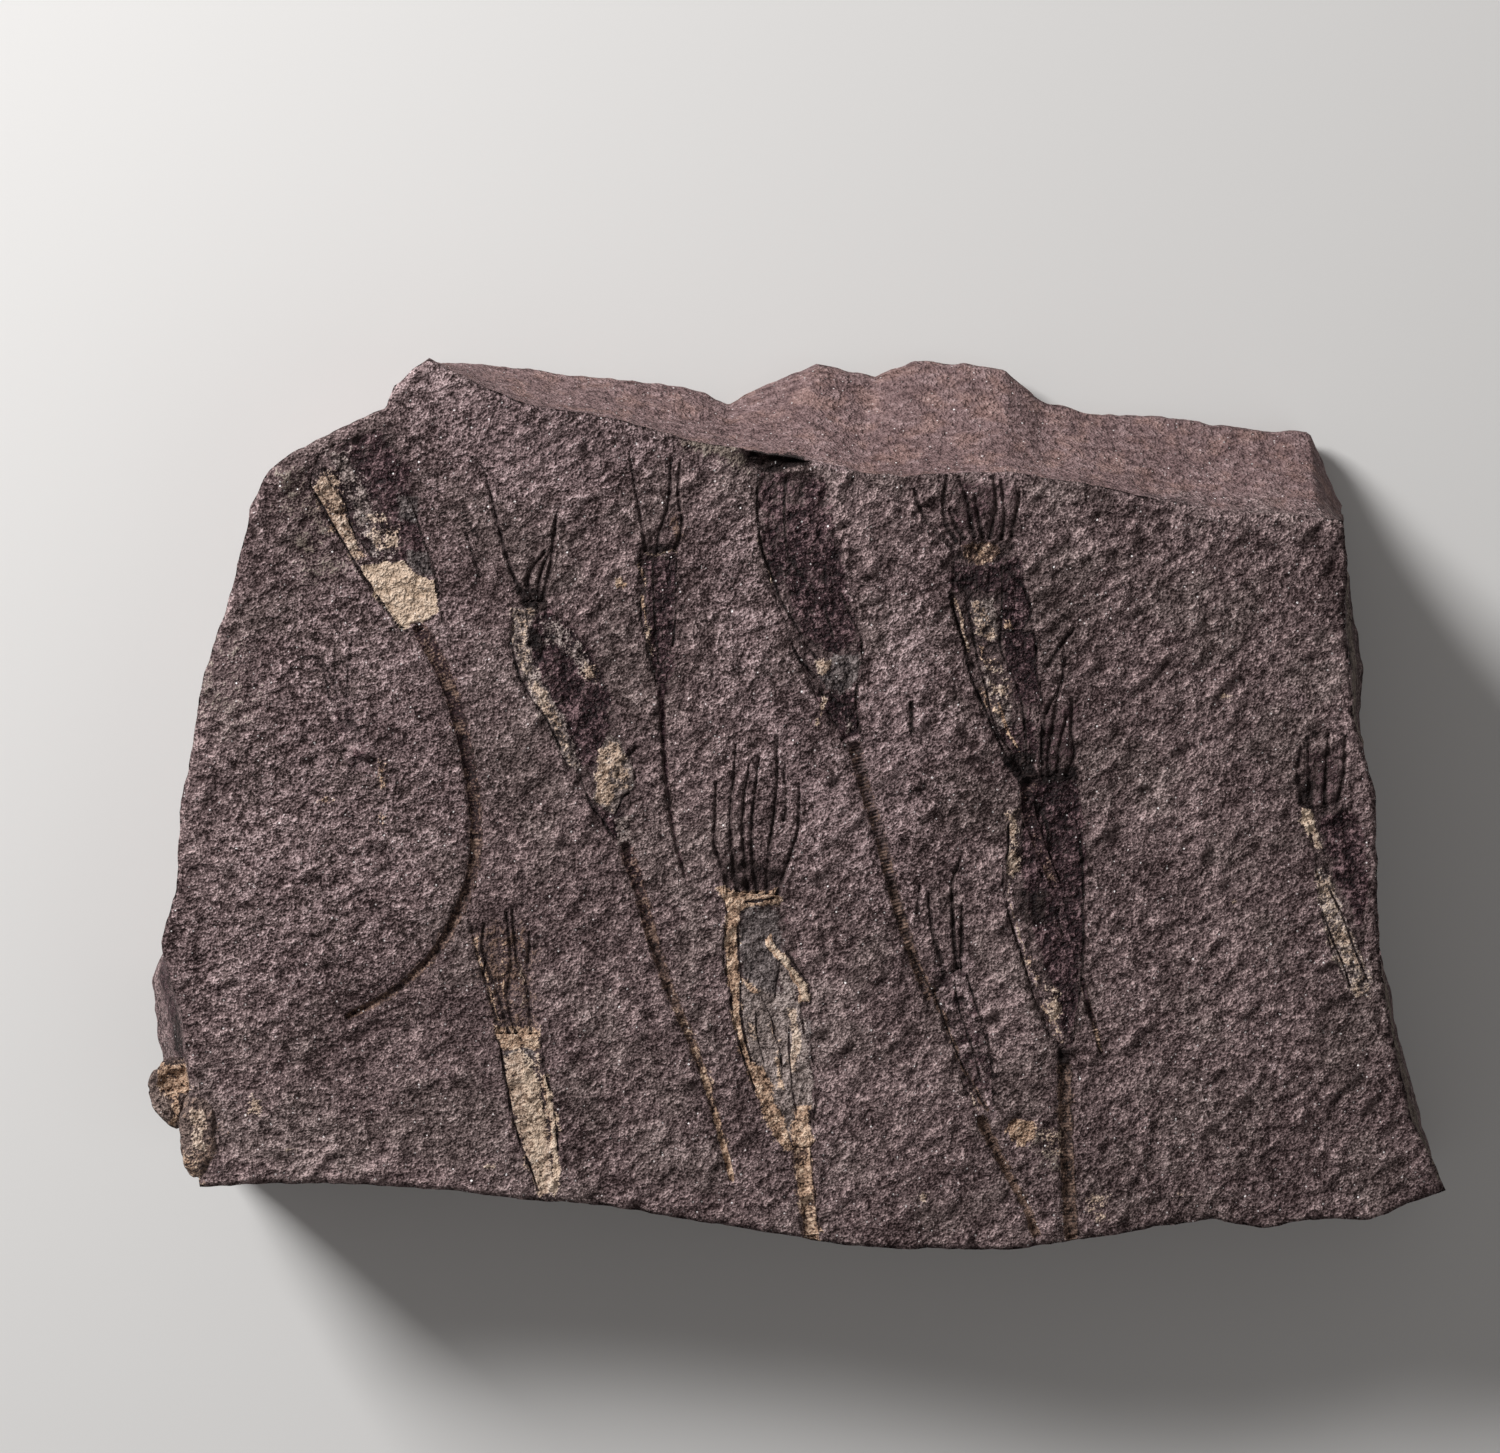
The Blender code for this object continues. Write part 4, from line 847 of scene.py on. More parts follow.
        (0.7, 1.05, (-0.6, -53, 2.4, -52.6, 2.6, -59, 0.4, -60, -1, -57)),
        (0.3, 1.20, (-5.7, -23.6, -4.4, -22.7, -4, -25, -2.3, -25.7, -1, -27.8, 0.1, -29.7, 1.4, -31.3, 2, -33.1,
                     1.9, -34.6, 0.3, -34.7, 0.2, -32.6, -1.2, -30.9, -1.9, -28.6, -3.4, -27, -4.9, -25.6)),
        (0.4, 0.72, (-9.3, -30.6, -6.4, -32.6, -6.6, -33.3, -9.4, -31.4)),
        (0.6, 0.62, (-5.2, -36.8, -4.4, -37, -3, -43, -2.4, -50, -3.4, -49, -4, -42)),
        (0.6, 0.95, (-52, -38.6, -44.3, -38.8, -44.2, -42.6, -51.4, -42.6)),
        (0.7, 0.72, (-50.8, -46, -49.4, -45, -47, -56, -44.6, -64, -43, -67.6, -45, -68, -48.6, -57)),
        (0.5, 0.95, (-44.4, -47, -43, -47, -41.4, -55, -41, -61.5, -41.8, -68, -42.8, -67, -42.4, -60, -43.2, -54)),
        (1.0, 0.40, (-49.6, -44, -44, -44, -42, -56, -42, -67, -45, -67, -48.8, -54)),
        (0.3, 1.20, (37, -54.8, 39.4, -54.4, 41, -55.6, 41, -57.4, 39.4, -58.9, 37.2, -58.4, 36.4, -56.6)),
        (0.5, 1.00, (-31.2, 38.8, -30.2, 38.8, -30.3, 37.2, -31.1, 37.2)),
        (0.7, 0.85, (-72.3, 7.2, -71.2, 7, -71.2, 2.4, -72.2, 2.2)),
        (0.5, 0.80, (-82, 1.1, -81, 1.1, -81, 0, -82, 0)),
        (0.5, 0.80, (-72.5, -2.5, -71.5, -2.5, -71.5, -3.6, -72.5, -3.6)),
        (0.8, 0.95, (-110.8, -45.5, -105.5, -45.2, -105.3, -50.2, -108, -51.6, -110.6, -49.6)),
        (1.2, 0.60, (-106.4, -61, -104.6, -61, -103, -66, -105, -66)),
        (0.5, 0.80, (-107.6, -50, -106.4, -50, -108, -57, -109, -57)),
    ),
    "brown": (
        (1.6, 0.30, (-107.5, -51, -104, -50.4, -100.6, -53, -99.4, -58, -101, -62, -102.6, -67, -107, -66)),
        (1.8, 0.46, (-56, -22, -52, -19.5, -46.5, -22, -45.5, -30, -44.2, -39.6, -52, -39.6, -54.6, -30)),
        (1.2, 0.50, (-21.8, 50, -20, 50, -19.8, 46, -21.4, 43.6)),
        (0.5, 1.10, (28.4, 44.2, 31, 44.8, 34, 44.6, 35, 43.2, 33.6, 41.6, 31, 41.6, 29, 42)),
    ),
    "pale": (
        (9.0, 0.95, (-68, 78, -40, 70, -22, 62, -36, 52, -52, 54, -66, 66)),
        (9.0, 0.46, (-112, -30, -100, -10, -94, 20, -88, 56, -60, 60, -52, 20, -62, -20, -90, -36)),
        (8.0, 0.76, (-16, 44, -8, 50, -4, 24, 6, 8, 22, 42, 26, 10, 18, -18, 2, -10, -12, 14)),
        (1.0, 0.90, (-82, 18.6, -77, 18.6, -74, 12, -73.6, 4.8, -77, 4.6, -80, 12)),
        (1.2, 0.62, (23.5, -29, 29.4, -28.4, 32, -37, 33.6, -46, 31, -50, 28, -45, 25, -37)),
        (0.5, 0.90, (0, 40, 2.6, 41, 3.6, 38, 2, 36.4, -0.4, 37.4)),
        (0.5, 0.80, (3.8, 46.8, 6, 46.6, 6.2, 43.6, 4.4, 43)),
        (0.5, 0.70, (6.8, 42, 8.4, 41, 9.4, 34.6, 8.4, 33.6, 7.6, 37)),
        (0.6, 0.70, (81, -45, 82.4, -45, 82.3, -46.4, 81, -46.4)),
        (0.8, 0.95, (84.6, 19.6, 87, 20, 88, 17.4, 87, 15.6, 85, 15.8)),
        (0.4, 1.30, (27.8, -26.3, 30, -26.4, 30, -28.4, 27.9, -28.6)),
        (0.9, 1.00, (-1, 61.2, 3, 60.2, 8.4, 58.2, 8.4, 56.9, 2.4, 58.6)),
        (2.0, 0.50, (-64, 78, -54, 73, -38, 68, -20, 63.5, -20, 61, -54, 69, -64, 73)),
    ),
    "grey": (
        (1.4, 0.98, (-20.5, 63.6, -12, 62.4, -9, 60.5, -8.6, 57.4, -10.6, 57.6, -13.6, 60, -20, 61.2)),
        (2.5, 0.42, (-90, 58, -85, 59, -80, 47, -77, 38, -84, 36, -90, 48)),
        (4.0, 0.34, (-104, 26, -96, 28, -94, 16, -102, 12)),
        # The next patch is painted light: it lightens the right side, which faces away from the key lamp, so that
        # the strip looks lit.
        (1.2, 1.10, (96, 43, 99, 43, 101, 30, 102, 24, 101, 15, 101.8, 8, 103, 1, 103.6, -9, 104, -23, 106.4, -32,
                     109, -44, 112.5, -57, 115, -66, 111, -64.5, 106.8, -55, 103.8, -42, 101.8, -30, 101, -22,
                     100.8, -8, 100.6, 1.5, 98.8, 8, 96.8, 15, 96.2, 22, 95.3, 30, 95.7, 41)),
        (1.4, 0.60, (46, 59.4, 58, 58.4, 58, 57.4, 47, 58.2)),
        (2.2, 0.62, (40, -55, 45, -56, 46, -64, 41, -63)),
        (1.2, 0.60, (-49.3, 33.6, -46.2, 34.5, -46.8, 25, -41.2, 14.5, -38.6, 9.5, -43.5, 14, -49.3, 27)),
    ),
}

# %% Coats along the stems and the arms
STEM_COATS = {   # how much of a coat a stem has, at the crown and at its end
    1: {"dark": (1.00, 0.50), "brown": (0.36, 0.50)},
    2: {"dark": (0.90, 0.0), "brown": (0.3, 0.9), "rust": (-0.5, 0.92)},
    3: {"dark": (0.85, 0.45)},
    4: {"dark": (0.62, 0.25), "brown": (0.4, 0.6)},
    5: {"dark": (1.10, 0.85), "brown": (0.1, 0.3)},
    6: {"dark": (0.50, 0.35), "brown": (0.50, 0.62)},
    7: {"dark": (0.30, 0.20), "brown": (0.85, 0.85)},
    8: {"brown": (1.2, 1.2), "rust": (0.66, 0.52)},
}
LOOSE_COATS = {"dark": (1.2, 0.3), "rust": (-0.4, 0.72)}
ARM_BLACK = {   # one for each arm
    2: (1.05, 0.85, 0.85, 0.45, 0.35), 3: (0.40, 0.75, 0.75), 5: (0.40, 0.65, 0.8, 0.9, 0.8, 0.9, 0.85, 0.6),
    6: (0.6, 0.95, 0.95, 0.95, 0.9), 7: (0.5, 1.0, 1.25, 0.35), 8: (0.7, 0.85, 0.95, 0.95, 1.0, 0.5, 0.8),
    9: (0.55, 0.6, 0.5, 0.6, 0.3), 10: (0.7, 0.6, 0.5), 11: (0.8, 1.0, 1.0, 0.8),
}
ARM_BLACKENS = (0.15, 1.15)   # share of it at an arm's tip and at its root
print("patches:", {coat: len(patches) for coat, patches in PATCHES.items()})

# %% Cracks: half their width and depth in mm, points along them
CRACKS = (
    (0.16, 0.30, (-84.3, 55, -81.3, 50, -80, 47.5, -77, 42.5, -75.8, 40.5, -72.5, 35.5, -69.5, 31.3, -67.6, 29.6)),
    (0.13, 0.22, (-81.5, 57.5, -80.5, 55, -78, 52, -77.5, 49.5, -77, 47.5, -75, 44.5, -73.6, 42.6)),
    (0.14, 0.28, (-67.4, 53.2, -66, 50, -64.9, 46.2)),
    (0.17, 0.32, (-64.5, 45, -63.4, 42.5, -62.5, 39, -62.1, 36, -61.5, 33, -61.3, 31)),
    (0.12, 0.16, (-57.5, 50, -56.8, 48, -55.6, 46.5, -55.2, 43)),
    (0.12, 0.16, (-61.3, 50.5, -61.3, 47, -61.6, 44)),
    (0.13, 0.20, (-49.6, 28, -48.1, 22.2, -46, 18, -43.4, 14.4, -40.7, 9)),
    (0.14, 0.25, (-37.6, 4.4, -35.6, -0.4, -33.8, -2.8, -31.6, -6.4)),
    (0.13, 0.25, (-28.4, 9, -28, 5, -28.3, 2.2, -30, 1, -31, -1.2, -31.6, -2.2)),
    (0.14, 0.24, (-27.2, 43.6, -27.2, 38, -27.1, 32, -26.6, 29.6, -25.6, 25, -24.6, 21.4, -23.6, 19.6)),
    (0.11, 0.16, (-25, 41.5, -24.8, 34, -24.4, 29, -24, 24)),
    (0.12, 0.18, (-20.9, 41.6, -21, 33, -21.5, 27)),
    (0.16, 0.28, (-7, 56, -7, 50, -6.6, 46, -5.8, 42.5, -4.1, 38.4, -3, 35)),
    (0.14, 0.26, (-2, 56, -2.3, 50, -1.9, 44, -1, 41.5, 1, 38.8, 3.2, 36)),
    (0.15, 0.26, (-3.6, 36.2, -1.8, 33, 0, 30.2, 1.2, 27.6, 3.2, 25)),
    (0.14, 0.24, (-1.6, 28.4, 0.2, 25, 2.4, 22.6)),
    (0.13, 0.22, (4.4, 34.8, 5.3, 31.6, 6.2, 28.4)),
    (0.14, 0.24, (7.6, 36, 8.8, 33, 9.8, 30.8, 10.8, 29, 11.2, 25.6, 11.2, 22.4, 10.2, 19.6, 10.2, 16, 10.8, 12)),
    (0.12, 0.20, (3.6, 18.6, 5.6, 18.4, 7.2, 17, 10.2, 17)),
    (0.13, 0.22, (4.4, 14.6, 6.2, 12.6, 8.4, 9.6)),
    (0.16, 0.30, (26.2, 36.6, 27, 33, 28.2, 29.2, 29, 26, 29.6, 22.6, 31, 19, 32.6, 15.6, 34.2, 11.6, 36.4, 7.2)),
    (0.13, 0.24, (28.8, 37.4, 29.2, 34, 29.8, 31.6, 30.4, 28.4, 31.4, 23.4, 32.6, 19.4, 33.2, 16, 34.6, 12,
                  37.6, 7.8)),
    (0.14, 0.26, (35.2, 41, 35.3, 36, 35.2, 31, 35, 26.6, 36.6, 23.2, 38, 19.6, 38.9, 16, 39.4, 11, 39.6, 6)),
    (0.12, 0.20, (27, 38.2, 30.6, 38.4, 31, 36.4)),
    (0.12, 0.20, (35, 29.6, 37.4, 29.4)),
    (0.16, 0.30, (35.2, 41, 37.4, 39, 39.1, 36.9, 40, 34.8, 40.3, 32.9, 39.6, 31, 38.6, 29.4)),
    (0.16, 0.30, (38.6, 29.4, 40, 29.3, 41.1, 28.6, 41.2, 26, 40.9, 23.7, 41.6, 20.8, 42, 18, 42.1, 12.6, 42, 7.7)),
    (0.12, 0.24, (36.4, -3, 36.3, -8, 35.3, -12, 36, -18, 37.6, -23, 39.4, -29, 41.6, -36.4, 43.8, -40.8)),
    (0.13, 0.20, (48.6, -6, 49.3, -14, 49.3, -24, 48.7, -33, 47.8, -40)),
    (0.13, 0.20, (41, 1, 43, -4, 43.4, -9)),
    (0.14, 0.26, LEFT_OF_CUP_7),
    (0.12, 0.20, (29.2, -30, 30.8, -35, 32.6, -40, 33.5, -45, 33.8, -52)),
    (0.11, 0.16, (27, -31, 28, -36, 30, -42, 31.6, -48)),
    (0.24, 0.42, (37.5, -65.3, 39.3, -65.1, 40.6, -66, 41.2, -67.5)),
    (0.12, 0.20, (34.1, -47.2, 34.6, -46.9, 35.3, -47.3, 35.2, -48.2, 34.6, -48.4)),
    (0.14, 0.30, (-9, -17.2, -6.4, -16.9, -4.1, -16.5)),
    (0.13, 0.24, (-12.6, -22, -12.8, -26, -12.4, -29.4, -11.7, -32, -11.4, -36, -10.6, -40, -9.2, -44.4,
                  -7.4, -49.6)),
    (0.12, 0.20, (-10.3, -21.3, -10.2, -25.7, -9.8, -30, -9.9, -33, -9.8, -36.4, -9, -41, -8, -44.6)),
    (0.13, 0.24, (-3.1, -27.4, -3.3, -29.4, -3.7, -31.4, -3.9, -33.7)),
    (0.12, 0.22, (-6.3, -33.3, -5.5, -35.2, -4.4, -37.6, -3.9, -40.3, -3.1, -42.6, -2.6, -47)),
    (0.17, 0.40, (-2.2, -25, -0.8, -27.4, 0.3, -29.2, 1.7, -31, 2.3, -33.2, 2.1, -34.8, 0.6, -35)),
    (0.14, 0.30, (0.5, -35.2, 0.8, -37.4, 1.1, -39.8)),
    (0.12, 0.22, (2, -36.4, 2.5, -39, 2.4, -43, 2.9, -47, 3.1, -52, 2.7, -56)),
    (0.11, 0.16, (-1.5, -39, -1.4, -44, -0.8, -50, -0.2, -54)),
    (0.11, 0.14, (-7.2, -36, -7, -40, -5.8, -45)),
    (0.11, 0.16, (-5, -31, -6.6, -29.2)),
    (0.15, 0.24, (-51.6, -41, -50.6, -47, -49.8, -51, -49, -55, -47.8, -59, -46.3, -62.4, -44.8, -67)),
    (0.12, 0.20, (-44.2, -42, -43.4, -47, -41.9, -54, -41.3, -60)),
    (0.14, 0.25, (91.8, -15, 94, -19.5, 96, -25, 98.5, -31)),
    (0.13, 0.24, (91, -20, 92.4, -24, 94.2, -28, 95.4, -31.8)),
    (0.20, 0.30, (87.3, 10.4, 89.4, 12, 92, 12.4, 94.6, 11.4)),
    (0.20, 0.30, (19.5, 17, 19.6, 12)),
    (0.12, 0.20, (-79, 1, -77.6, -3.4)),
    (0.16, 0.26, (-72.4, -8.6, -72, -11)),
    (0.14, 0.25, (-53.6, -26, -54.2, -29.6)),
)

# %% Streaks: coat, half its width in mm, amount, points along it
STREAKS = (
    ("cream", 0.16, 0.80, (-26.8, 43.1, -23.6, 43, -20.6, 43.3)),
    ("pale", 0.34, 1.30, (23.3, -28.9, 25.4, -28.2, 27.5, -27.5)),
    ("cream", 0.12, 0.75, LEFT_OF_CUP_6),
    ("pale", 0.42, 1.10, LEFT_OF_CUP_6),
    ("brown", 0.34, 0.90, LEFT_OF_CUP_7),
    ("pale", 0.34, 1.00, (48.4, -12.6, 48.8, -17, 48.6, -22.7)),
    ("pale", 0.50, 0.90, (33, -48.8, 33.5, -53.9)),
    ("brown", 0.12, 1.10, (-46.8, -48, -45.5, -52, -43.5, -57.5, -42.5, -61)),
    ("brown", 0.12, 1.10, (-48.5, -51, -47, -55, -45, -59.5, -42.8, -65)),
    ("brown", 0.30, 0.90, (0.0, -60, 0.5, -66, 1.3, -73)),
    ("rust", 0.25, 0.66, (-55.6, -23.6, -53.6, -31, -51.6, -38)),
    ("rust", 0.22, 0.60, (-50.4, -24, -50.6, -34)),
    ("cream", 0.16, 0.55, (-47.8, -28, -47, -36)),
    ("cream", 0.14, 0.60, (-6.8, 45.4, -5.4, 41.6, -4.2, 38)),
    ("cream", 0.22, 0.70, (3, 13.6, 5, 17.2, 4.6, 18)),
    ("rust", 0.30, 0.60, (-27, 41, -26.9, 36, -26.2, 30.5)),
    ("cream", 0.28, 0.70, (27.4, 35, 28.4, 31, 29.6, 26)),
    ("rust", 0.22, 0.60, (31.6, 27, 33.4, 20.6, 35.6, 14, 38.6, 8)),
    ("cream", 0.18, 0.66, (-44.6, -42, -44.6, -47, -43.4, -52, -42, -58)),
    ("cream", 0.20, 0.60, (29.6, -50, 31, -53.4)),
)
CRACK_LINES = [(half, depth, smooth_line(pairs(points), 0.5)) for half, depth, points in CRACKS]
print("cracks:", len(CRACKS), "streaks:", len(STREAKS))


# %% How much of each coat is at a place
PATCH_WANDER = 0.9          # mm, that a patch's edge strays
UNEVEN = (3.4, 0.9)         # mm across, and how uneven a coat is along a line
ARM_UNEVEN = (1.4, 1.3)     # the same, and on top of it, on an arm
BEAD_PITCH = 1.1            # mm, of the joints that show in the lower part of an arm
BEAD_PALER = 0.45           # how much paler they are at its root
STRIP_EDGE = (0.12, 0.28)   # mm, that a coat goes past a strip, and over which it ends
DRAWN_EDGE = (0.2, 0.3)     # the same, for a streak or a crack
CRACK_BLACK = 0.9
COAT_REACH = (12.0, 22.0)   # mm above the back, between which the coats fade in
TOP_REACH = (30.5, 35.0)    # the same, on the broken top side
TOP_STARTS = 50.0           # mm, how far along Y that side starts


def strips():
    """Every arm and stem as its line, its half widths, and its blackness or rust at both ends."""
    for number, lines in ARM_LINES.items():
        for line, black in zip(lines, ARM_BLACK[number]):
            yield "black", line, ARM_WIDTHS[number], [share * black for share in ARM_BLACKENS]
    stems = [(STEM_LINES[n], STEMS[n], STEM_COATS[n]) for n in STEMS] + [(LOOSE_LINE, LOOSE_STEM, LOOSE_COATS)]
    for line, stem, coats in stems:
        for coat, amounts in coats.items():
            yield coat, line, stem[:2], amounts


def edge_share(half, gap, edge):
    """1 inside a line's half width and 0 past its edge, for gaps from its middle."""
    return step_up((half + edge[0] - gap) / edge[1])


def coats_at(points):
    """For (N, 2) places, how much of each coat there is, from 0 to 1."""
    found = {coat: np.zeros(len(points)) for coat in PATCHES}
    x, y = points[:, 0], points[:, 1]
    drawn = np.stack([0.9 * bumps_flat(x, y, 3.0, layer) + 0.7 * bumps_flat(x, y, 1.2, layer + 1)
                      for layer in (51.0, 53.0)], axis=1)
    wandering = points + PATCH_WANDER * drawn
    uneven = 1.0 + UNEVEN[1] * bumps_flat(x, y, UNEVEN[0], 55.0)

    def add(coat, near, amount):
        found[coat][near] = np.maximum(found[coat][near], amount)

    for coat, patches in PATCHES.items():
        for soft, strength, corners in patches:
            border = pairs(corners)
            near = around(points, border, soft + 1.0)
            inside = inside_of(wandering[near], border)
            add(coat, near, strength * step_up(0.5 + inside / (2 * soft)))
    for coat, line, widths, amounts in strips():
        near = around(points, line, 2.0)
        gap, share = near_line(points[near], line)
        amount = amounts[0] + (amounts[1] - amounts[0]) * share
        if coat == "black":
            bead = np.cos(np.pi * share * len(line) * LINE_STEP / BEAD_PITCH) ** 2
            amount = amount * (1.0 - BEAD_PALER * share * bead)
            amount = amount * (1.0 + ARM_UNEVEN[1] * bumps_flat(x[near], y[near], ARM_UNEVEN[0], 57.0))
        add(coat, near, amount * uneven[near] * edge_share(groove_width(share, widths), gap, STRIP_EDGE))
    for coat, half, amount, corners in STREAKS:
        line = pairs(corners)
        near = around(points, line, 1.0)
        gap, _ = near_line(wandering[near], line)
        add(coat, near, amount * uneven[near] * edge_share(half, gap, DRAWN_EDGE))
    for half, _, line in CRACK_LINES:
        near = around(points, line, 1.0)
        gap, _ = near_line(points[near], line)
        add("black", near, uneven[near] * CRACK_BLACK * edge_share(half, gap, DRAWN_EDGE))
    return found


def store(piece, name, values):
    """Keep a value for every vertex of a piece, which its material reads."""
    layer = piece.data.attributes.new(name, "FLOAT", "POINT")
    layer.data.foreach_set("value", values.astype(np.float32))


def paint(piece):
    """Store the coats on every vertex of a finished piece."""
    points = read_points(piece) / MM
    on_top = points[:, 1:2] + CENTRE[1] > TOP_STARTS
    low, high = np.where(on_top, TOP_REACH, COAT_REACH).T
    share = step_up((points[:, 2] - low) / (high - low))
    for coat, amount in coats_at(points[:, :2] + CENTRE).items():
        store(piece, coat, amount * share)


# %% [markdown]
# ## The sandstone
# The stone is fine sand with flakes of mica, stained purple by iron. Its colour is mixed from a leaning
# grain, a slow drift of tone and the coats, and tiny near-white flecks stand for the mica, their
# whiteness partly painted glint. The grain also drives the bump, because bumps under a millimetre are finer
# than the mesh; since the colour is dark where the grain is low and pale where it is high, and paler on the
# mesh's raised lumps, the hollows and tops are partly painted shade and highlight. One function makes the
# stone and the films, which differ in gloss, in roughness and in how strong their own grain is.

# %% Colours (linear)
# Each set of three runs from hollows to grain tops along a tone made from the bump's own grain, so its dark and
# pale ends are partly painted shade and highlight.
STONE = ((0.029, 0.0160, 0.0160), (0.141, 0.096, 0.096), (0.470, 0.345, 0.338))   # hollows, middle, grain tops
GREY_STONE = ((0.029, 0.0185, 0.0170), (0.130, 0.097, 0.090), (0.410, 0.328, 0.308))
PINK_STONE = ((0.075, 0.044, 0.044), (0.175, 0.112, 0.111), (0.330, 0.232, 0.232))
WARM_STONE = ((0.095, 0.053, 0.047), (0.215, 0.133, 0.122), (0.370, 0.250, 0.232))
# Near-white mica flakes: pale in themselves, and partly painted glint, as their whiteness stands in for the flakes'
# glints.
MICA_AND_GLINT = (0.90, 0.85, 0.84)
FIBRE_LINES = ((0.47, 0.010, 0.60, (0.008, 0.004, 0.004)),
               (0.55, 0.009, 0.35, (0.30, 0.22, 0.21)))   # fine lines along a cup: level in the fibre
# noise, width, share, colour
COAT_COLOURS = {
    "pale": ((0.076, 0.051, 0.052), (0.224, 0.155, 0.157), (0.530, 0.400, 0.400)),
    "grey": ((0.050, 0.038, 0.033), (0.175, 0.135, 0.113), (0.360, 0.300, 0.260)),
    "dark": ((0.006, 0.002, 0.003), (0.031, 0.014, 0.017), (0.215, 0.135, 0.142)),
    "slate": ((0.013, 0.009, 0.010), (0.092, 0.073, 0.071), (0.255, 0.212, 0.206)),
    "ash": ((0.052, 0.038, 0.034), (0.206, 0.160, 0.147), (0.450, 0.368, 0.343)),
    "brown": ((0.028, 0.015, 0.011), (0.135, 0.083, 0.063), (0.310, 0.205, 0.160)),
    "rust": ((0.070, 0.037, 0.024), (0.385, 0.248, 0.170), (0.700, 0.520, 0.390)),
    "cream": ((0.150, 0.096, 0.066), (0.400, 0.286, 0.216), (0.650, 0.515, 0.420)),
    "clay": ((0.370, 0.265, 0.190), (0.545, 0.410, 0.312), (0.690, 0.550, 0.435)),
    "black": ((0.003, 0.0012, 0.0012), (0.011, 0.006, 0.006), (0.040, 0.026, 0.024)),
}
COAT_SHOWS = {"pale": (0.20, 0.90), "grey": (0.40, 0.75), "dark": (0.32, 0.66), "slate": (0.38, 0.72),
              "ash": (0.38, 0.72), "brown": (0.30, 0.72), "rust": (0.44, 0.66), "cream": (0.44, 0.64),
              "clay": (0.40, 0.60), "black": (0.32, 0.66)}   # amounts between which a coat comes to show
FILM_STONE = ((0.020, 0.012, 0.012), (0.086, 0.057, 0.056), (0.290, 0.210, 0.204))
STEM_BROWN = ((0.012, 0.007, 0.006), (0.075, 0.046, 0.039), (0.240, 0.165, 0.140))
NODULE_STONE = ((0.030, 0.019, 0.017), (0.140, 0.098, 0.087), (0.360, 0.275, 0.240))


# %% Helpers that add nodes
def add_node(tree, kind, inputs=(), **settings):
    """A node with its settings, and its inputs set or linked by name or number."""
    node = tree.nodes.new(kind)
    for name, value in settings.items():
        setattr(node, name, value)
    for name, value in dict(inputs).items():
        if isinstance(value, bpy.types.NodeSocket):
            tree.links.new(value, node.inputs[name])
        else:
            node.inputs[name].default_value = value
    return node


def maths(tree, operation, *values):
    return add_node(tree, "ShaderNodeMath", dict(enumerate(values)), operation=operation).outputs[0]


def weighted(tree, *parts):
    """Values added up, each with its weight."""
    (value, weight), *others = parts
    total = maths(tree, "MULTIPLY", value, weight)
    for value, weight in others:
        total = maths(tree, "MULTIPLY_ADD", value, weight, total)
    return total


def ramp(tree, value, low, high, to_low=0.0, to_high=1.0):
    """A smooth rise from to_low to to_high while the value goes from low to high."""
    spread = {"Value": value, "From Min": low, "From Max": high, "To Min": to_low, "To Max": to_high}
    return add_node(tree, "ShaderNodeMapRange", spread, interpolation_type="SMOOTHSTEP").outputs[0]


def mix(tree, share, under, over):
    """One colour over another by a share."""
    made = add_node(tree, "ShaderNodeMix", data_type="RGBA")
    for socket, value in zip((made.inputs[0], made.inputs[6], made.inputs[7]), (share, under, over)):
        if isinstance(value, bpy.types.NodeSocket):
            tree.links.new(value, socket)
        elif isinstance(value, tuple):
            socket.default_value = (*value, 1.0)
        else:
            socket.default_value = value
    return made.outputs[2]


def stored(tree, name, output="Fac"):
    """What the piece's vertices keep under a name."""
    return add_node(tree, "ShaderNodeAttribute", attribute_name=name).outputs[output]


def stretched(tree, place, scale, turn=0.0):
    """Places for a pattern that is drawn out each way by a scale and turned about Z."""
    settings = {"Vector": place, "Rotation": (0.0, 0.0, turn), "Scale": scale}
    return add_node(tree, "ShaderNodeMapping", settings, vector_type="TEXTURE").outputs[0]


def grain(tree, place, size, detail=3.0, roughness=0.55):
    """Noise with lumps of a size in mm."""
    settings = {"Vector": place, "Scale": 1.0 / (size * MM), "Detail": detail, "Roughness": roughness}
    return add_node(tree, "ShaderNodeTexNoise", settings).outputs[0]


# %% Grains and tones
LEAN_GRAIN = 1.5      # mm across, as all of these sizes
CRUMB_GRAIN = 0.80
SAND_GRAIN = 0.36
BLOTCH_GRAIN = 3.2
DRIFT_GRAIN = 21.0
STREAK_GRAIN = 1.1
LEANING = ((0.44, 0.56), (1.4, 1.0, 1.0))   # shares of crumbs and long grain, and how long the grain is
SAND_SHARE = (0.45, 0.55)                   # shares of sand and leaning grain in the tone
DRIFT_TONE, BLOTCH_TONE = 0.18, 0.10        # how much these noises change the tone
# Paler stone on raised lumps and darker stone in low ones is painted highlight and shade.
LUMP_HIGHLIGHT = 0.035     # how much paler the stone gets, for each mm that a lump stands up
FIBRE_TONE, CHIP_TONE, SEAM_TONE = 0.12, 0.13, -0.09
FILM_PALER = 0.03
CRUMBS = 1.1          # how much of the dark coat a high chip loses, and a low one gains
COAT_BREAKS = (0.35, 0.35, 0.30)            # shares of blotch, sand and leaning grain that break a coat's edge
COAT_BREAKING = 5.0
MICA_FLECKS = ((1.5, 0.25, 0.14, 1.0), (0.75, 0.24, 0.24, 0.5))   # mm apart, share of the places that have
# one, largest radius against the spacing, strength
MICA_ROUGHNESS = 0.25
SIDE_BUMP = 0.80      # the bump of the fresh stone against that of the face
FIBRE_BUMP = 0.5
SPECULAR = 0.16


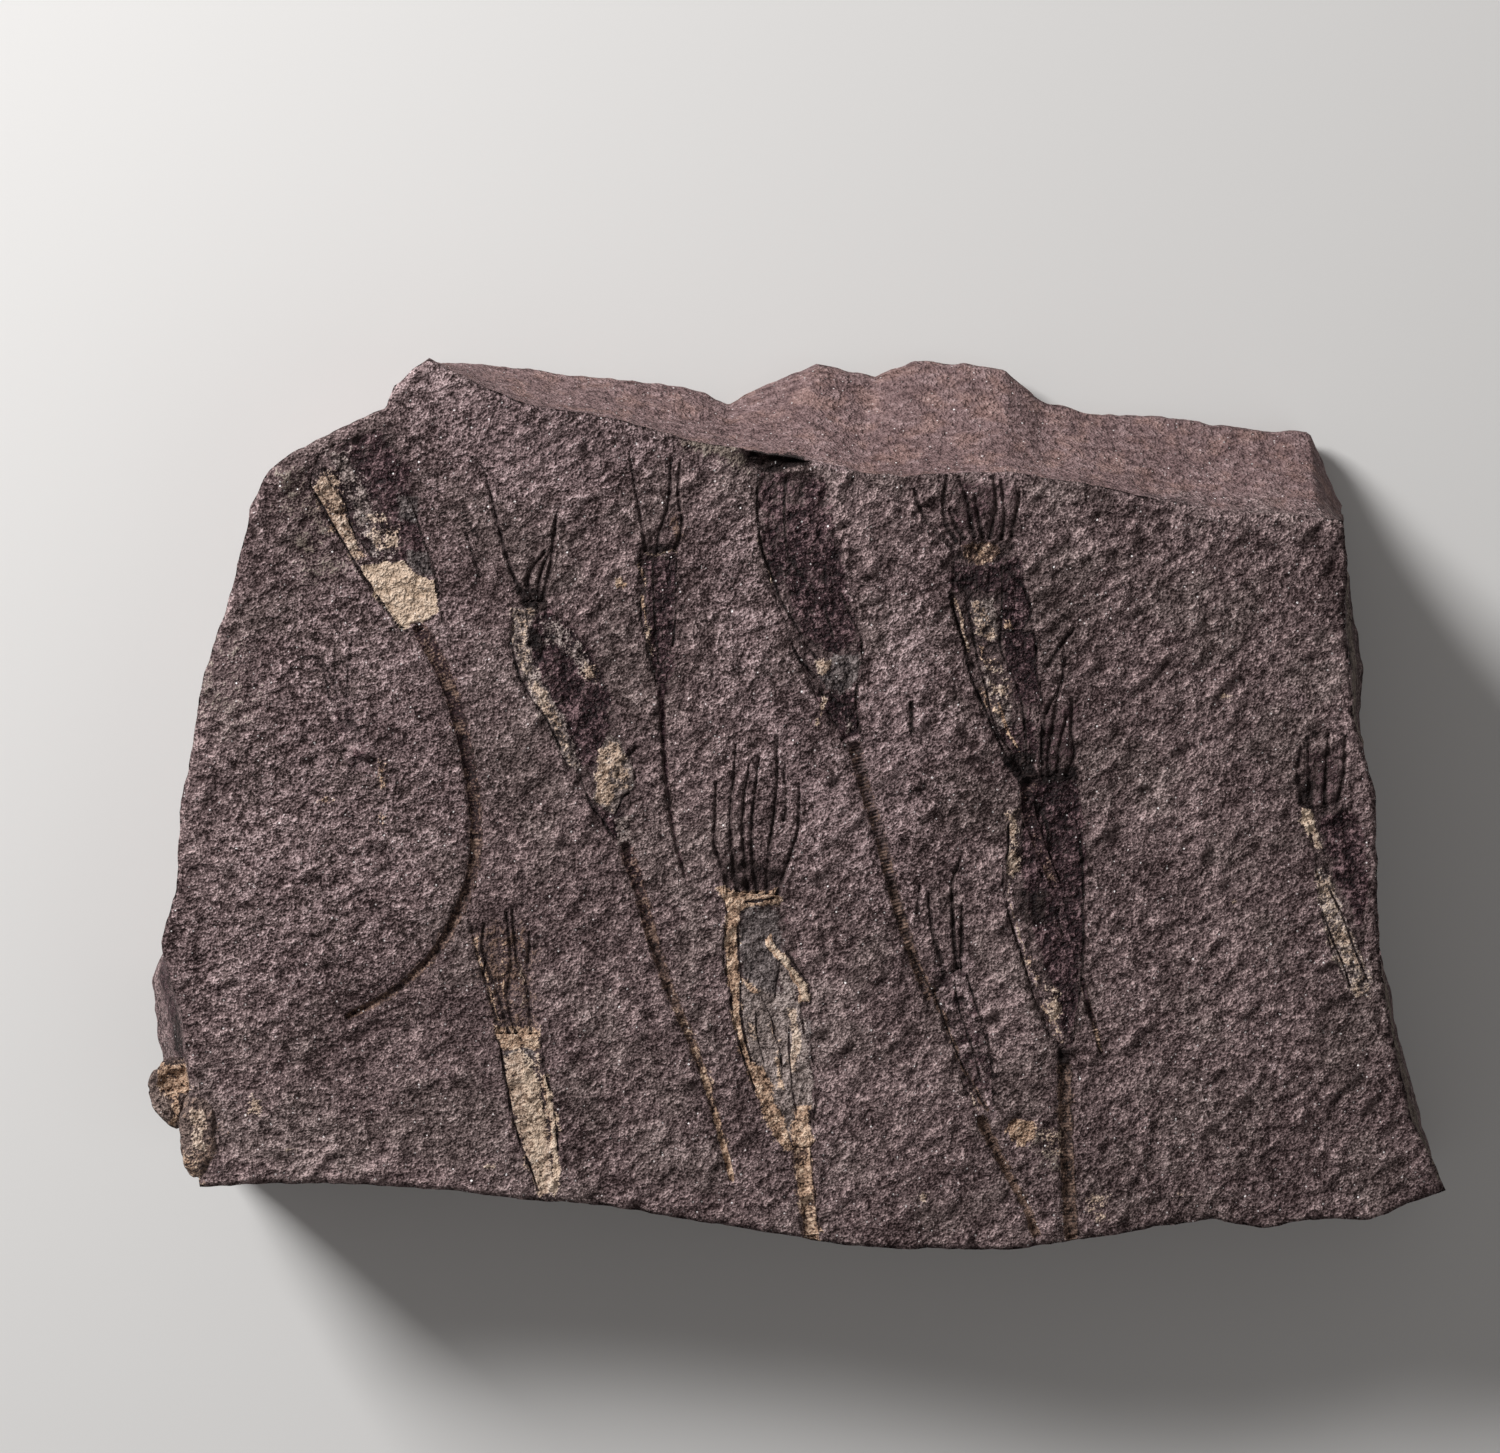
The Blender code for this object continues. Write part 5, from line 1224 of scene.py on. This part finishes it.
def three_tones(tree, tone, shades):
    """Three colours along a tone: hollows, middle and grain tops; as the tone follows the bump's grain, the dark
    hollows and pale tops are partly painted shade and highlight.
    """
    lower = mix(tree, ramp(tree, tone, 0.40, 0.50), *shades[:2])
    return mix(tree, ramp(tree, tone, 0.50, 0.63), lower, shades[2])


def leaning_grain(tree, place, size):
    """Long grain that leans less at the left end of the slab."""
    along_x = add_node(tree, "ShaderNodeSeparateXYZ", {"Vector": place}).outputs[0]
    turned = ramp(tree, along_x, *((turn - CENTRE[0]) * MM for turn in LEAN_TURNS))
    left, right = (grain(tree, stretched(tree, place, LEANING[1], lean), size, 2.0) for lean in LEANS)
    return add_node(tree, "ShaderNodeMix", {0: turned, 2: left, 3: right}).outputs[0]


def lightened(tree, tone, noise, amount):
    """A tone that a noise makes lighter and darker; the noise's middle is 0.5."""
    return maths(tree, "MULTIPLY_ADD", maths(tree, "ADD", noise, -0.5), amount, tone)


def flecks(tree, place, spacing, share, largest, strength):
    """Round flecks, at most one in each cell of a spacing in mm; the largest radius is part of a cell."""
    cells = add_node(tree, "ShaderNodeTexVoronoi", {"Vector": place, "Scale": 1.0 / (spacing * MM)})
    chance = add_node(tree, "ShaderNodeSeparateColor", {"Color": cells.outputs["Color"]}).outputs[0]
    size = ramp(tree, chance, 1.0 - share, 1.0, 0.0, largest)
    fleck = ramp(tree, maths(tree, "SUBTRACT", size, cells.outputs["Distance"]), -0.02, 0.05, 0.0, strength)
    return maths(tree, "MULTIPLY", fleck, maths(tree, "GREATER_THAN", size, 0.01))


# %% Stone, films and coats
def bed_colour(tree, place, tone, face):
    """The stone of the bed: greyer in areas, and pink or warm where it is fresh, on the broken top side."""
    greyer = ramp(tree, grain(tree, place, 13.0, 2.0), 0.46, 0.64, 0.0, 0.5)
    face = mix(tree, greyer, face, three_tones(tree, tone, GREY_STONE))
    streak = grain(tree, stretched(tree, place, (2.6, 1.2, 1.2)), STREAK_GRAIN, 3.0)
    fresh_tone = weighted(tree, (streak, 0.35), (tone, 0.65))
    fresh = mix(tree, ramp(tree, grain(tree, place, 5.5, 3.0), 0.46, 0.66),
                *(three_tones(tree, fresh_tone, shades) for shades in (PINK_STONE, WARM_STONE)))
    return mix(tree, stored(tree, "pink"), face, fresh)


def film_tone(tree, tone, fibre, chip):
    """The tone of a film: fibres along it, and chips and the dark seams between them."""
    tone = lightened(tree, tone, fibre, FIBRE_TONE)
    tone = maths(tree, "MULTIPLY_ADD", chip, CHIP_TONE, tone)
    return maths(tree, "MULTIPLY_ADD", stored(tree, "seam"), SEAM_TONE, maths(tree, "ADD", tone, FILM_PALER))


def add_fibre_lines(tree, colour, fibre, strength):
    """Fine dark and pale lines where the fibre noise has certain levels."""
    for level, wide, most, shade in FIBRE_LINES:
        gap = maths(tree, "ABSOLUTE", maths(tree, "ADD", fibre, -level))
        colour = mix(tree, ramp(tree, gap, 0.0, wide, most * strength, 0.0), colour, shade)
    return colour


def stone_finish(name, base, rough, lean_bump, sand_bump, mica_share, ribs=0.0, fibres=0.0, bed=False):
    """A material for rock or film: three tones of stone, the coats over them, mica, gloss and bump."""
    made = bpy.data.materials.new(name)
    made.use_nodes = True
    tree = made.node_tree
    shader = tree.nodes["Principled BSDF"]
    place = add_node(tree, "ShaderNodeTexCoord").outputs["Object"]
    grains = grain(tree, place, CRUMB_GRAIN, 1.0), leaning_grain(tree, place, LEAN_GRAIN)
    lean = weighted(tree, *zip(grains, LEANING[0]))
    sand = grain(tree, place, SAND_GRAIN, 2.0)
    blotch = grain(tree, place, BLOTCH_GRAIN, 3.0, 0.6)

    tone = weighted(tree, *zip((sand, lean), SAND_SHARE))
    tone = lightened(tree, tone, grain(tree, place, DRIFT_GRAIN, 2.0), DRIFT_TONE)
    tone = lightened(tree, tone, blotch, BLOTCH_TONE)
    if bed:
        # painted highlight on the mesh's raised lumps, painted shade in its low places
        tone = maths(tree, "MULTIPLY_ADD", stored(tree, "lump"), LUMP_HIGHLIGHT, tone)
    colour = three_tones(tree, tone, base)
    if bed:
        colour = bed_colour(tree, place, tone, colour)
    if fibres:
        fibre = stretched(tree, stored(tree, "fibre", "Vector"), (1.0, 5.0, 1.0))
        fibre = grain(tree, fibre, STREAK_GRAIN, 3.0, 0.6)
        chip = stored(tree, "chip")
        tone = film_tone(tree, tone, fibre, chip)

    broken = weighted(tree, *zip((blotch, sand, lean), COAT_BREAKS))
    shift = maths(tree, "MULTIPLY_ADD", broken, COAT_BREAKING, -COAT_BREAKING / 2)
    for coat, (low, high) in COAT_SHOWS.items():
        amount = stored(tree, coat)
        if fibres and coat == "dark":
            amount = maths(tree, "MULTIPLY_ADD", chip, -CRUMBS, amount)
        share = ramp(tree, maths(tree, "ADD", amount, shift), low, high)
        share = maths(tree, "MULTIPLY", share, maths(tree, "GREATER_THAN", amount, 0.02))
        colour = mix(tree, share, colour, three_tones(tree, tone, COAT_COLOURS[coat]))
        if fibres and coat == "ash":
            colour = add_fibre_lines(tree, colour, fibre, fibres)
    # Darken the low gaps between ribs towards the hollow tone: partly painted shade, which ribs this fine are too
    # small to cast.
    if ribs:
        colour = mix(tree, maths(tree, "MULTIPLY", stored(tree, "rib"), ribs), colour, base[0])

    fleck = maths(tree, "MAXIMUM", *(flecks(tree, place, spacing, share * mica_share, largest, strength)
                                     for spacing, share, largest, strength in MICA_FLECKS))
    tree.links.new(mix(tree, fleck, colour, MICA_AND_GLINT), shader.inputs["Base Color"])
    tree.links.new(ramp(tree, fleck, 0.0, 1.0, rough, MICA_ROUGHNESS), shader.inputs["Roughness"])
    height = weighted(tree, (sand, sand_bump), (lean, lean_bump))
    if bed:
        height = maths(tree, "MULTIPLY", height, ramp(tree, stored(tree, "pink"), 0.0, 1.0, 1.0, SIDE_BUMP))
    if fibres:
        height = maths(tree, "MULTIPLY_ADD", fibre, FIBRE_BUMP * fibres, height)
    bump = add_node(tree, "ShaderNodeBump", {"Height": height, "Strength": 1.0, "Distance": MM})
    tree.links.new(bump.outputs[0], shader.inputs["Normal"])
    shader.inputs["Specular IOR Level"].default_value = SPECULAR
    return made


# %% The five finishes: roughness, bump of the long grain and of the sand, mica
sandstone = stone_finish("sandstone_bed", STONE, 0.82, 2.3, 0.60, 1.0, bed=True)
dark_film = stone_finish("dark_mineral_film", FILM_STONE, 0.62, 1.9, 0.55, 0.5, ribs=0.5, fibres=1.0)
pale_film = stone_finish("clay_mineral_film", FILM_STONE, 0.78, 1.6, 0.55, 0.4, ribs=0.5, fibres=0.9)
brown_film = stone_finish("brown_stem_film", STEM_BROWN, 0.70, 0.6, 0.25, 0.3, ribs=0.75)
nodule_crust = stone_finish("nodule_crust", NODULE_STONE, 0.85, 2.6, 0.70, 0.2)
print("finishes:", [m.name for m in (sandstone, dark_film, pale_film, brown_film, nodule_crust)])

# %% [markdown]
# ## Carving
# The grid's face now gets its heights: lumps first, then the moulds, the cracks and the pits, and a worn
# edge all round.

# %% Carve the face
EDGE_WORN = 0.55     # mm, that the face drops at its edge
EDGE_WIDTH = 1.3     # mm, over which it does
PITS = ((2.2, 0.9, (-9.2, 60.0, -7.4, 61.6, -4, 61.4, 0.6, 60.2, 1.6, 59.0, -1.2, 58.4, -3.4, 57.2, -6.2, 57.4,
                    -8.4, 58.4)),
        (0.8, 0.5, (45.7, -22.3, 46.9, -22.5, 46.8, -23.6, 45.8, -23.5)),
        (0.8, 0.5, (66.9, -5.9, 68.1, -6, 68.1, -7.1, 67, -7)),
        (0.6, 0.5, (68, -35.6, 69.2, -35.5, 69.1, -36.5, 68.1, -36.6)))   # depth, softness of the wall, corners
PIT_UNEVEN = (1.5, 0.9)               # mm across, and how uneven a pit's floor is
PINK_STARTS, PINK_WIDTH = 48.5, 7.0   # mm along Y, where the fresher stone of the broken top side begins
PINK_WANDER = ((7.0, 9.0), (2.2, 4.0))   # mm across, and how many mm its border strays
BED_SUNK = 0.28                       # mm, that the bed lies below the slab's thickness, so lumps fit in it
MOULD_CALM = 0.55                     # how much lower the lumps are in a mould
EDGE_CALM = 1.2                       # how calm they are at the worn edge
WORN_AT_ONCE = 20000                  # points, to save memory
outline_ring = wandering_edge(np.arange(0, PLACES, 0.25), [0, 1])


def worn(points):
    """How far the face is worn down at each point near its edge."""
    drop = np.zeros(len(points))
    for start in range(0, len(points), WORN_AT_ONCE):
        part = slice(start, start + WORN_AT_ONCE)
        inside = inside_of(points[part], outline_ring)
        drop[part] = EDGE_WORN * (1.0 - step_up(inside / EDGE_WIDTH))
    return drop


def cracked(points):
    """How deep the cracks and the pits go at each point."""
    depth = np.zeros(len(points))
    for half, deep, line in CRACK_LINES:
        near = around(points, line, 1.0)
        gap, _ = near_line(points[near], line)
        wide = half + DRAWN_EDGE[0]
        depth[near] = np.maximum(depth[near], deep * step_up((wide - gap) / wide))
    for deep, soft, corners in PITS:
        border = pairs(corners)
        near = around(points, border, soft)
        uneven = 1.0 + PIT_UNEVEN[1] * bumps_flat(*points[near].T, PIT_UNEVEN[0], 71.0)
        depth[near] += deep * uneven * step_up(0.5 + inside_of(points[near], border) / (2 * soft))
    return depth


def bed_height(points, calm):
    """Height of the bedding plane in mm at (N, 2) places, before moulds are carved."""
    return THICKNESS - BED_SUNK + lumps(points[:, 0], points[:, 1]) * (1.0 - MOULD_CALM * calm)


placed = read_points(slab) / MM
on_face = placed[:, 2] > THICKNESS - 0.1
face_points = placed[on_face][:, :2] + CENTRE
depth, calm = carved(face_points)
drop = worn(face_points)
bed = bed_height(face_points, np.maximum(calm, EDGE_CALM * drop / EDGE_WORN))
placed[on_face, 2] = bed - depth - cracked(face_points) - drop
placed = np.clip(placed * MM, cad_box[0], cad_box[1])
write_points(slab, placed)
select_only(slab)
bpy.ops.object.shade_smooth()
paint(slab)
past = placed[:, 1] / MM + CENTRE[1] - PINK_STARTS
for size, strays in PINK_WANDER:
    past += strays * bumps(placed / MM / size)
store(slab, "pink", step_up(past / PINK_WIDTH) * ~on_face)
# The lump height is kept for the sandstone, which paints highlight on raised lumps from it.
lump_height = np.zeros(len(placed))
lump_height[on_face] = lumps(*face_points.T) * (1.0 - calm)
store(slab, "lump", lump_height)
slab.data.materials.append(sandstone)
triangles = sum(len(p.vertices) - 2 for p in slab.data.polygons)
print("slab:", triangles, "triangles, highest", round(placed[:, 2].max() / MM, 2), "mm")
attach(slab, "root")
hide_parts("slab")

# %% [markdown]
# ## Films in the cups
# A cup is a thin sheet of minerals that lines its mould. It could be painted on the rock, but its chips and
# ridges are finer than the rock's mesh. So it is a grid of its own, stretched between the cup's left and
# right edge with its lines running along the cup, and it gets its thickness from Solidify. Its rim goes a
# little way into the rock, which hides it, as the real film runs on into the stone.

# %% Depths of the cups
CUP_DEPTHS = {1: (0.45, 0.40, 0.10), 2: (0.20, 0.30, 0.25), 3: (0.28, 0.18, 0.20), 4: (0.50, 0.30, 0.30),
              5: (0.50, 0.35, 0.30), 6: (0.42, 0.30, 0.30), 7: (0.25, 0.18, 0.20), 8: (0.38, 0.45, 0.30),
              9: (0.32, 0.36, 0.25), 10: (0.08, 0.08, 0.12), 11: (0.32, 0.25, 0.25)}   # left, right, middle, mm
CUP_RIDGES = {1: 0.30, 2: 0.40, 3: 0.35, 4: 0.50, 5: 0.70, 6: 0.50, 7: 0.25, 8: 0.50, 9: 0.55, 10: 0.2,
              11: 0.5}       # mm, height of its lengthwise ridges
RIDGES = ((2.0, 7.5, 3.3, 1.0), (0.9, 3.0, 2.7, 0.5))   # mm across and along, layer for each cup, share
CUP_FADE = {1: 14.0, 2: 4.0, 3: 1.5, 4: 1.5, 8: 4.0}    # mm, over which a cup gets deep from its upper end
USUAL_FADE = 3.0             # mm, the same for the others
SHALLOW_END = 0.12           # its depth at that end, against the full depth
CUP_FLATNESS = 2.5           # 2 is a round floor, and more is flatter
FILM_STEP = 0.26     # mm between the film's vertices
FILM_MARGIN = 0.16   # mm that the film goes under the rock's edge
FILM_THICK = 0.22
CHIP_SIZES = (1.5, 0.75)     # mm, of the chips that a film is broken into, coarse and fine
CHIP_STEP = 0.24             # mm, from a high chip to a low one
SEAM = (0.16, 0.20)          # mm, depth and half the width of the seams between chips
CHIPPED = {1: 0.7, 8: 0.5, 9: 0.25}   # how strongly a cup's film is broken, where that isn't fully
CRUST_RISE = {"clay": 0.20, "cream": 0.16, "rust": 0.20, "ash": 0.10, "slate": -0.03}   # mm
CRUST_CRUMBS = ((0.9, 31.0, 1.1), (0.45, 32.0, 0.6))    # mm across, layer, height against the crust's
CRUST_SOLID = 0.7            # the crust's height between its crumbs
FILM_CRACKS = 0.8            # depth of the cracks in a film, against those in the rock


def film_chips(x, y):
    """How high each place's chip stands, about -0.5 to 0.5, and how much of a seam is there."""
    x, y = x + 0.7 * bumps_flat(x, y, 1.3, 61.0), y + 0.7 * bumps_flat(x, y, 1.3, 63.0)
    (coarse, coarse_edge), (fine, fine_edge) = (chips(x, y, size, 9) for size in CHIP_SIZES)
    seam = np.maximum(1.0 - step_up(coarse_edge / SEAM[1]), 0.5 - 0.5 * step_up(2 * fine_edge / SEAM[1]))
    return 0.6 * coarse + 0.4 * fine, seam


def film_height(points, depth, chipped=0.0):
    """Height of a film whose floor is so deep, with its crusts, its cracks and its chips."""
    _, calm = carved(points)
    x, y = points[:, 0], points[:, 1]
    found = coats_at(points)
    height = bed_height(points, calm) - depth - FILM_CRACKS * cracked(points)
    crumbs = CRUST_SOLID
    for size, layer, share in CRUST_CRUMBS:
        crumbs = crumbs + share * bumps_flat(x, y, size, layer)
    for coat, rise in CRUST_RISE.items():
        height += rise * step_up((found[coat] - 0.35) / 0.35) * crumbs
    if chipped:
        chip, seam = film_chips(x, y)
        height += chipped * (CHIP_STEP * chip - SEAM[0] * seam)
    return height


def lay_sheet(name, columns, rows, place):
    """A grid with each vertex moved by place(s, t), where t goes down from the grid's upper side.

    place gives the flat place, the height and the fibre, all in mm; the fibre says how far across and
    how far along the sheet a vertex is, and it is kept for the material."""
    sheet = flat_grid(name, columns, rows)
    crude = read_points(sheet)
    s, t = (crude[:, 0] + 1) / 2, (1 - crude[:, 1]) / 2
    flat, height, across, along = place(s, t)
    write_points(sheet, metres(flat[:, 0], flat[:, 1], height))
    fibre = np.stack([across, along, np.full_like(s, flat[0, 0])], axis=1) * MM
    layer = sheet.data.attributes.new("fibre", "FLOAT_VECTOR", "POINT")
    layer.data.foreach_set("vector", fibre.astype(np.float32).ravel())
    return sheet


def cup_sheet(number):
    left, right = cup_sides(number)
    width = np.linalg.norm(right - left, axis=1)
    length = np.linalg.norm(np.diff((left + right) / 2, axis=0), axis=1).sum()
    columns, rows = int(width.max() / FILM_STEP), int(length / FILM_STEP)
    deep_left, deep_right, deep_middle = CUP_DEPTHS[number]
    chipped = CHIPPED.get(number, 1.0)

    def place(s, t):
        t_over = t * (1 + 2 * FILM_MARGIN / length) - FILM_MARGIN / length
        at_left, at_right = at_share(t_over, left), at_share(t_over, right)
        wide = np.interp(t_over, np.linspace(0, 1, len(width)), width)
        s_over = s + (2 * s - 1) * FILM_MARGIN / wide
        flat = at_left + (at_right - at_left) * s_over[:, None]
        depth = deep_left + (deep_right - deep_left) * s + deep_middle * (1 - np.abs(2 * s - 1) ** CUP_FLATNESS)
        fade = step_up(t * length / CUP_FADE.get(number, USUAL_FADE))
        depth = depth * (SHALLOW_END + (1 - SHALLOW_END) * fade)
        ridge = sum(share * bumps(np.stack([s * wide / across, t * length / along,
                                            np.full_like(s, layer * number)], axis=1))
                    for across, along, layer, share in RIDGES)
        depth = depth + CUP_RIDGES[number] * ridge * step_up(s * (1 - s) * wide / 0.5)
        return flat, film_height(flat, depth, chipped), s * wide, t * length

    sheet = lay_sheet(f"cup_{number}", columns, rows, place)
    points = read_points(sheet) / MM
    for name, values in zip(("chip", "seam"), film_chips(*(points[:, :2] + CENTRE).T)):
        store(sheet, name, chipped * values)
    return sheet


# %% [markdown]
# ## Arms and stems
# An arm or a stem is a narrow strip laid along its line, hollow across because it is the print of a round
# thing. The stem was a stack of thin discs, so its print has fine cross ribs about 0.6 mm apart. A curve
# with a bevel would be quicker, but a strip can follow the bed's lumps and be hollow.

# %% Strips
STRIP_MARGIN = 0.10         # mm that a strip goes under the rock's edge on each side
RIB_WANDER = (1.7, 0.12)    # mm along the strip, and how many mm its ribs stray
RIB_ENDS = 0.4              # a rib's height at its ends, against its middle


def strip_sheet(name, line, widths, deep, step, columns, rib_pitch, rib_height, rib_painted_shade=1.0):
    """A hollow strip along a line, from its first place to its last."""
    length = np.linalg.norm(np.diff(line, axis=0), axis=1).sum()
    rows = max(int(length / step), 6)
    way = np.gradient(line, axis=0)
    way /= np.linalg.norm(way, axis=1)[:, None]

    def rib_wave(t):
        """1 on a rib and -1 between two."""
        reach = t * length + RIB_WANDER[1] * bumps_flat(t * length, np.zeros_like(t), RIB_WANDER[0], 41.0)
        return np.cos(2 * np.pi * reach / rib_pitch)

    def place(s, t):
        middle, ahead = at_share(t, line), at_share(t, way)
        across = np.stack([-ahead[:, 1], ahead[:, 0]], axis=1)
        half = groove_width(t, widths) + STRIP_MARGIN
        flat = middle + across * ((2 * s - 1) * half)[:, None]
        bow = 1 - (2 * s - 1) ** 2
        rib = rib_wave(t) * rib_height * (RIB_ENDS + (1 - RIB_ENDS) * bow)
        depth = deep[0] + (deep[1] - deep[0]) * bow - rib
        return flat, film_height(flat, depth), s * half, t * length

    strip = lay_sheet(name, columns, rows, place)
    t = (np.repeat(np.arange(rows + 1), columns + 1) / rows)[::-1]
    # rib is 1 in the low gaps between ribs, where the finishes paint shade.
    store(strip, "rib", rib_painted_shade * (0.5 - 0.5 * rib_wave(t)))
    return strip


def thicken(sheet):
    """Give a film its thickness downwards, and apply it."""
    select_only(sheet)
    wall = sheet.modifiers.new("film", "SOLIDIFY")
    wall.thickness = FILM_THICK * MM
    wall.offset = -1.0
    bpy.ops.object.modifier_apply(modifier=wall.name)
    bpy.ops.object.shade_smooth()


def join(pieces, name):
    """The pieces as one, with a name."""
    select_only(pieces[0])
    for piece in pieces[1:]:
        piece.select_set(True)
    if len(pieces) > 1:
        bpy.ops.object.join()
    pieces[0].name = name
    pieces[0].data.name = name
    return pieces[0]


def finish_piece(piece, finish, node):
    """Paint a piece, give it its finish, hang it from the root and hide the solid that it stands for."""
    paint(piece)
    piece.data.materials.append(finish)
    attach(piece, "root")
    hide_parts(node)
    print(piece.name, len(piece.data.polygons), "faces")


# %% Lay the crowns
ARM_STEP = 0.22              # mm between its rows of vertices
ARM_DEPTHS = (0.20, 0.50)    # mm, at its edge and in its middle
ARM_COLUMNS = 6
JOINT_PITCH, JOINT_HEIGHT = 0.9, 0.03   # mm, of the joints of an arm
PALE_CROWNS = (8, 9)
for number in CUPS:
    sheets = [cup_sheet(number)]
    deep = [depth * FAINT.get(number, 1.0) for depth in ARM_DEPTHS]
    for line in ARM_LINES.get(number, ()):
        sheets.append(strip_sheet("arm", line, ARM_WIDTHS[number], deep, ARM_STEP, ARM_COLUMNS,
                                  JOINT_PITCH, JOINT_HEIGHT))
    crown = join(sheets, f"sea_lily_{number}_crown_film")
    thicken(crown)
    pale = number in PALE_CROWNS
    finish_piece(crown, pale_film if pale else dark_film, f"crinoid_{number}_crown")

# %% Lay the stems
STEM_STEP = 0.15
STEM_DEPTHS = (0.25, 0.95)
LOOSE_DEPTHS = (0.20, 0.50)
RIB_PITCH = 0.62
RIB_HEIGHT = 0.09
LOOSE_RIB_HEIGHT = 0.05
# WORN_RIBS also scales the painted shade between the ribs.
WORN_RIBS = {1: 0.6, 2: 0.5, 6: 0.6, 8: 0.3}   # share of the ribs that is left, on the stems that are worn
for number, line in STEM_LINES.items():
    left = WORN_RIBS.get(number, 1.0)
    stem = strip_sheet(f"sea_lily_{number}_stem_film", line, STEMS[number][:2], STEM_DEPTHS, STEM_STEP, 10,
                       RIB_PITCH, RIB_HEIGHT * left, left)
    thicken(stem)
    finish_piece(stem, brown_film, f"crinoid_{number}_stem")
loose = strip_sheet("loose_stem_film", LOOSE_LINE, LOOSE_STEM[:2], LOOSE_DEPTHS, STEM_STEP, 8,
                    RIB_PITCH, LOOSE_RIB_HEIGHT)
thicken(loose)
finish_piece(loose, brown_film, "loose_stem_piece")

# %% [markdown]
# ## Nodules
# Two nodules stick to the lower left corner, a rusty one on its side and a cream one on its edge. They are
# harder than the sandstone and stand out of it. Each is an icosphere, swollen towards the corners of its
# box, made narrower at its ends, dented in its middle and pushed in and out by bumps until it looks like a
# clump of grains.

# %% Shape the nodules
BOXY = 3.3   # 2 is an ellipsoid, and more is nearer to a box
NODULE_DENTS = {"nodule_side": (-108.2, -49.2, 2.4, 1.3), "nodule_corner": (-103.2, -56.0, 2.0, 0.3)}   # mm:
# place, half the width and depth of the dent
NODULE_TAPERS = {"nodule_side": ((-0.7, -0.45, 1.15), (0.84, 0.13, -0.35)),
                 "nodule_corner": ((0.0, -0.30, 0.0), (1.0, 0.0, -0.22))}   # shift to the right in mm and share of
# the width, each as its value at the middle, its slope and its bend towards both ends
NODULE_BUMPS = ((3.0, 0.0, 0.20), (1.5, 5.0, 0.09), (0.7, 9.0, 0.05))   # mm across, layer, share of its size
NODULE_FULL = 0.96                     # its size between the bumps, against its box
for node, (dent_x, dent_y, dent_wide, dent_deep) in NODULE_DENTS.items():
    low, high = (np.array(corner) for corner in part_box(node))
    start_clean()
    bpy.ops.mesh.primitive_ico_sphere_add(subdivisions=6, radius=1.0)
    lump = bpy.context.object
    ball = read_points(lump)
    ball /= (np.abs(ball) ** BOXY).sum(axis=1)[:, None] ** (1 / BOXY)
    sized = ball * (high - low) / 2
    shift, share = (a + b * ball[:, 1] + c * ball[:, 1] ** 2 for a, b, c in NODULE_TAPERS[node])
    sized[:, 0] = sized[:, 0] * share + shift * MM
    push = NODULE_FULL
    for size, layer, share_of_size in NODULE_BUMPS:
        push = push + share_of_size * bumps(sized / (size * MM) + layer)
    placed = (low + high) / 2 + sized * np.minimum(push, 1.0)[:, None]
    away = np.linalg.norm(placed[:, :2] / MM + CENTRE - (dent_x, dent_y), axis=1)
    placed[:, 2] -= dent_deep * MM * step_up(1.4 - away / dent_wide) * (ball[:, 2] > 0)
    write_points(lump, np.clip(placed, low, high))
    lump.name = node + "_lump"
    lump.data.name = lump.name
    bpy.ops.object.shade_smooth()
    finish_piece(lump, nodule_crust, node)

# %% [markdown]
# ## Sizes
# The looks must not be bigger than the solid part; the solid part's box is printed here.

# %% Print the solid box and finish
print("solid box in mm:", (cad_box / MM).round(2).tolist())
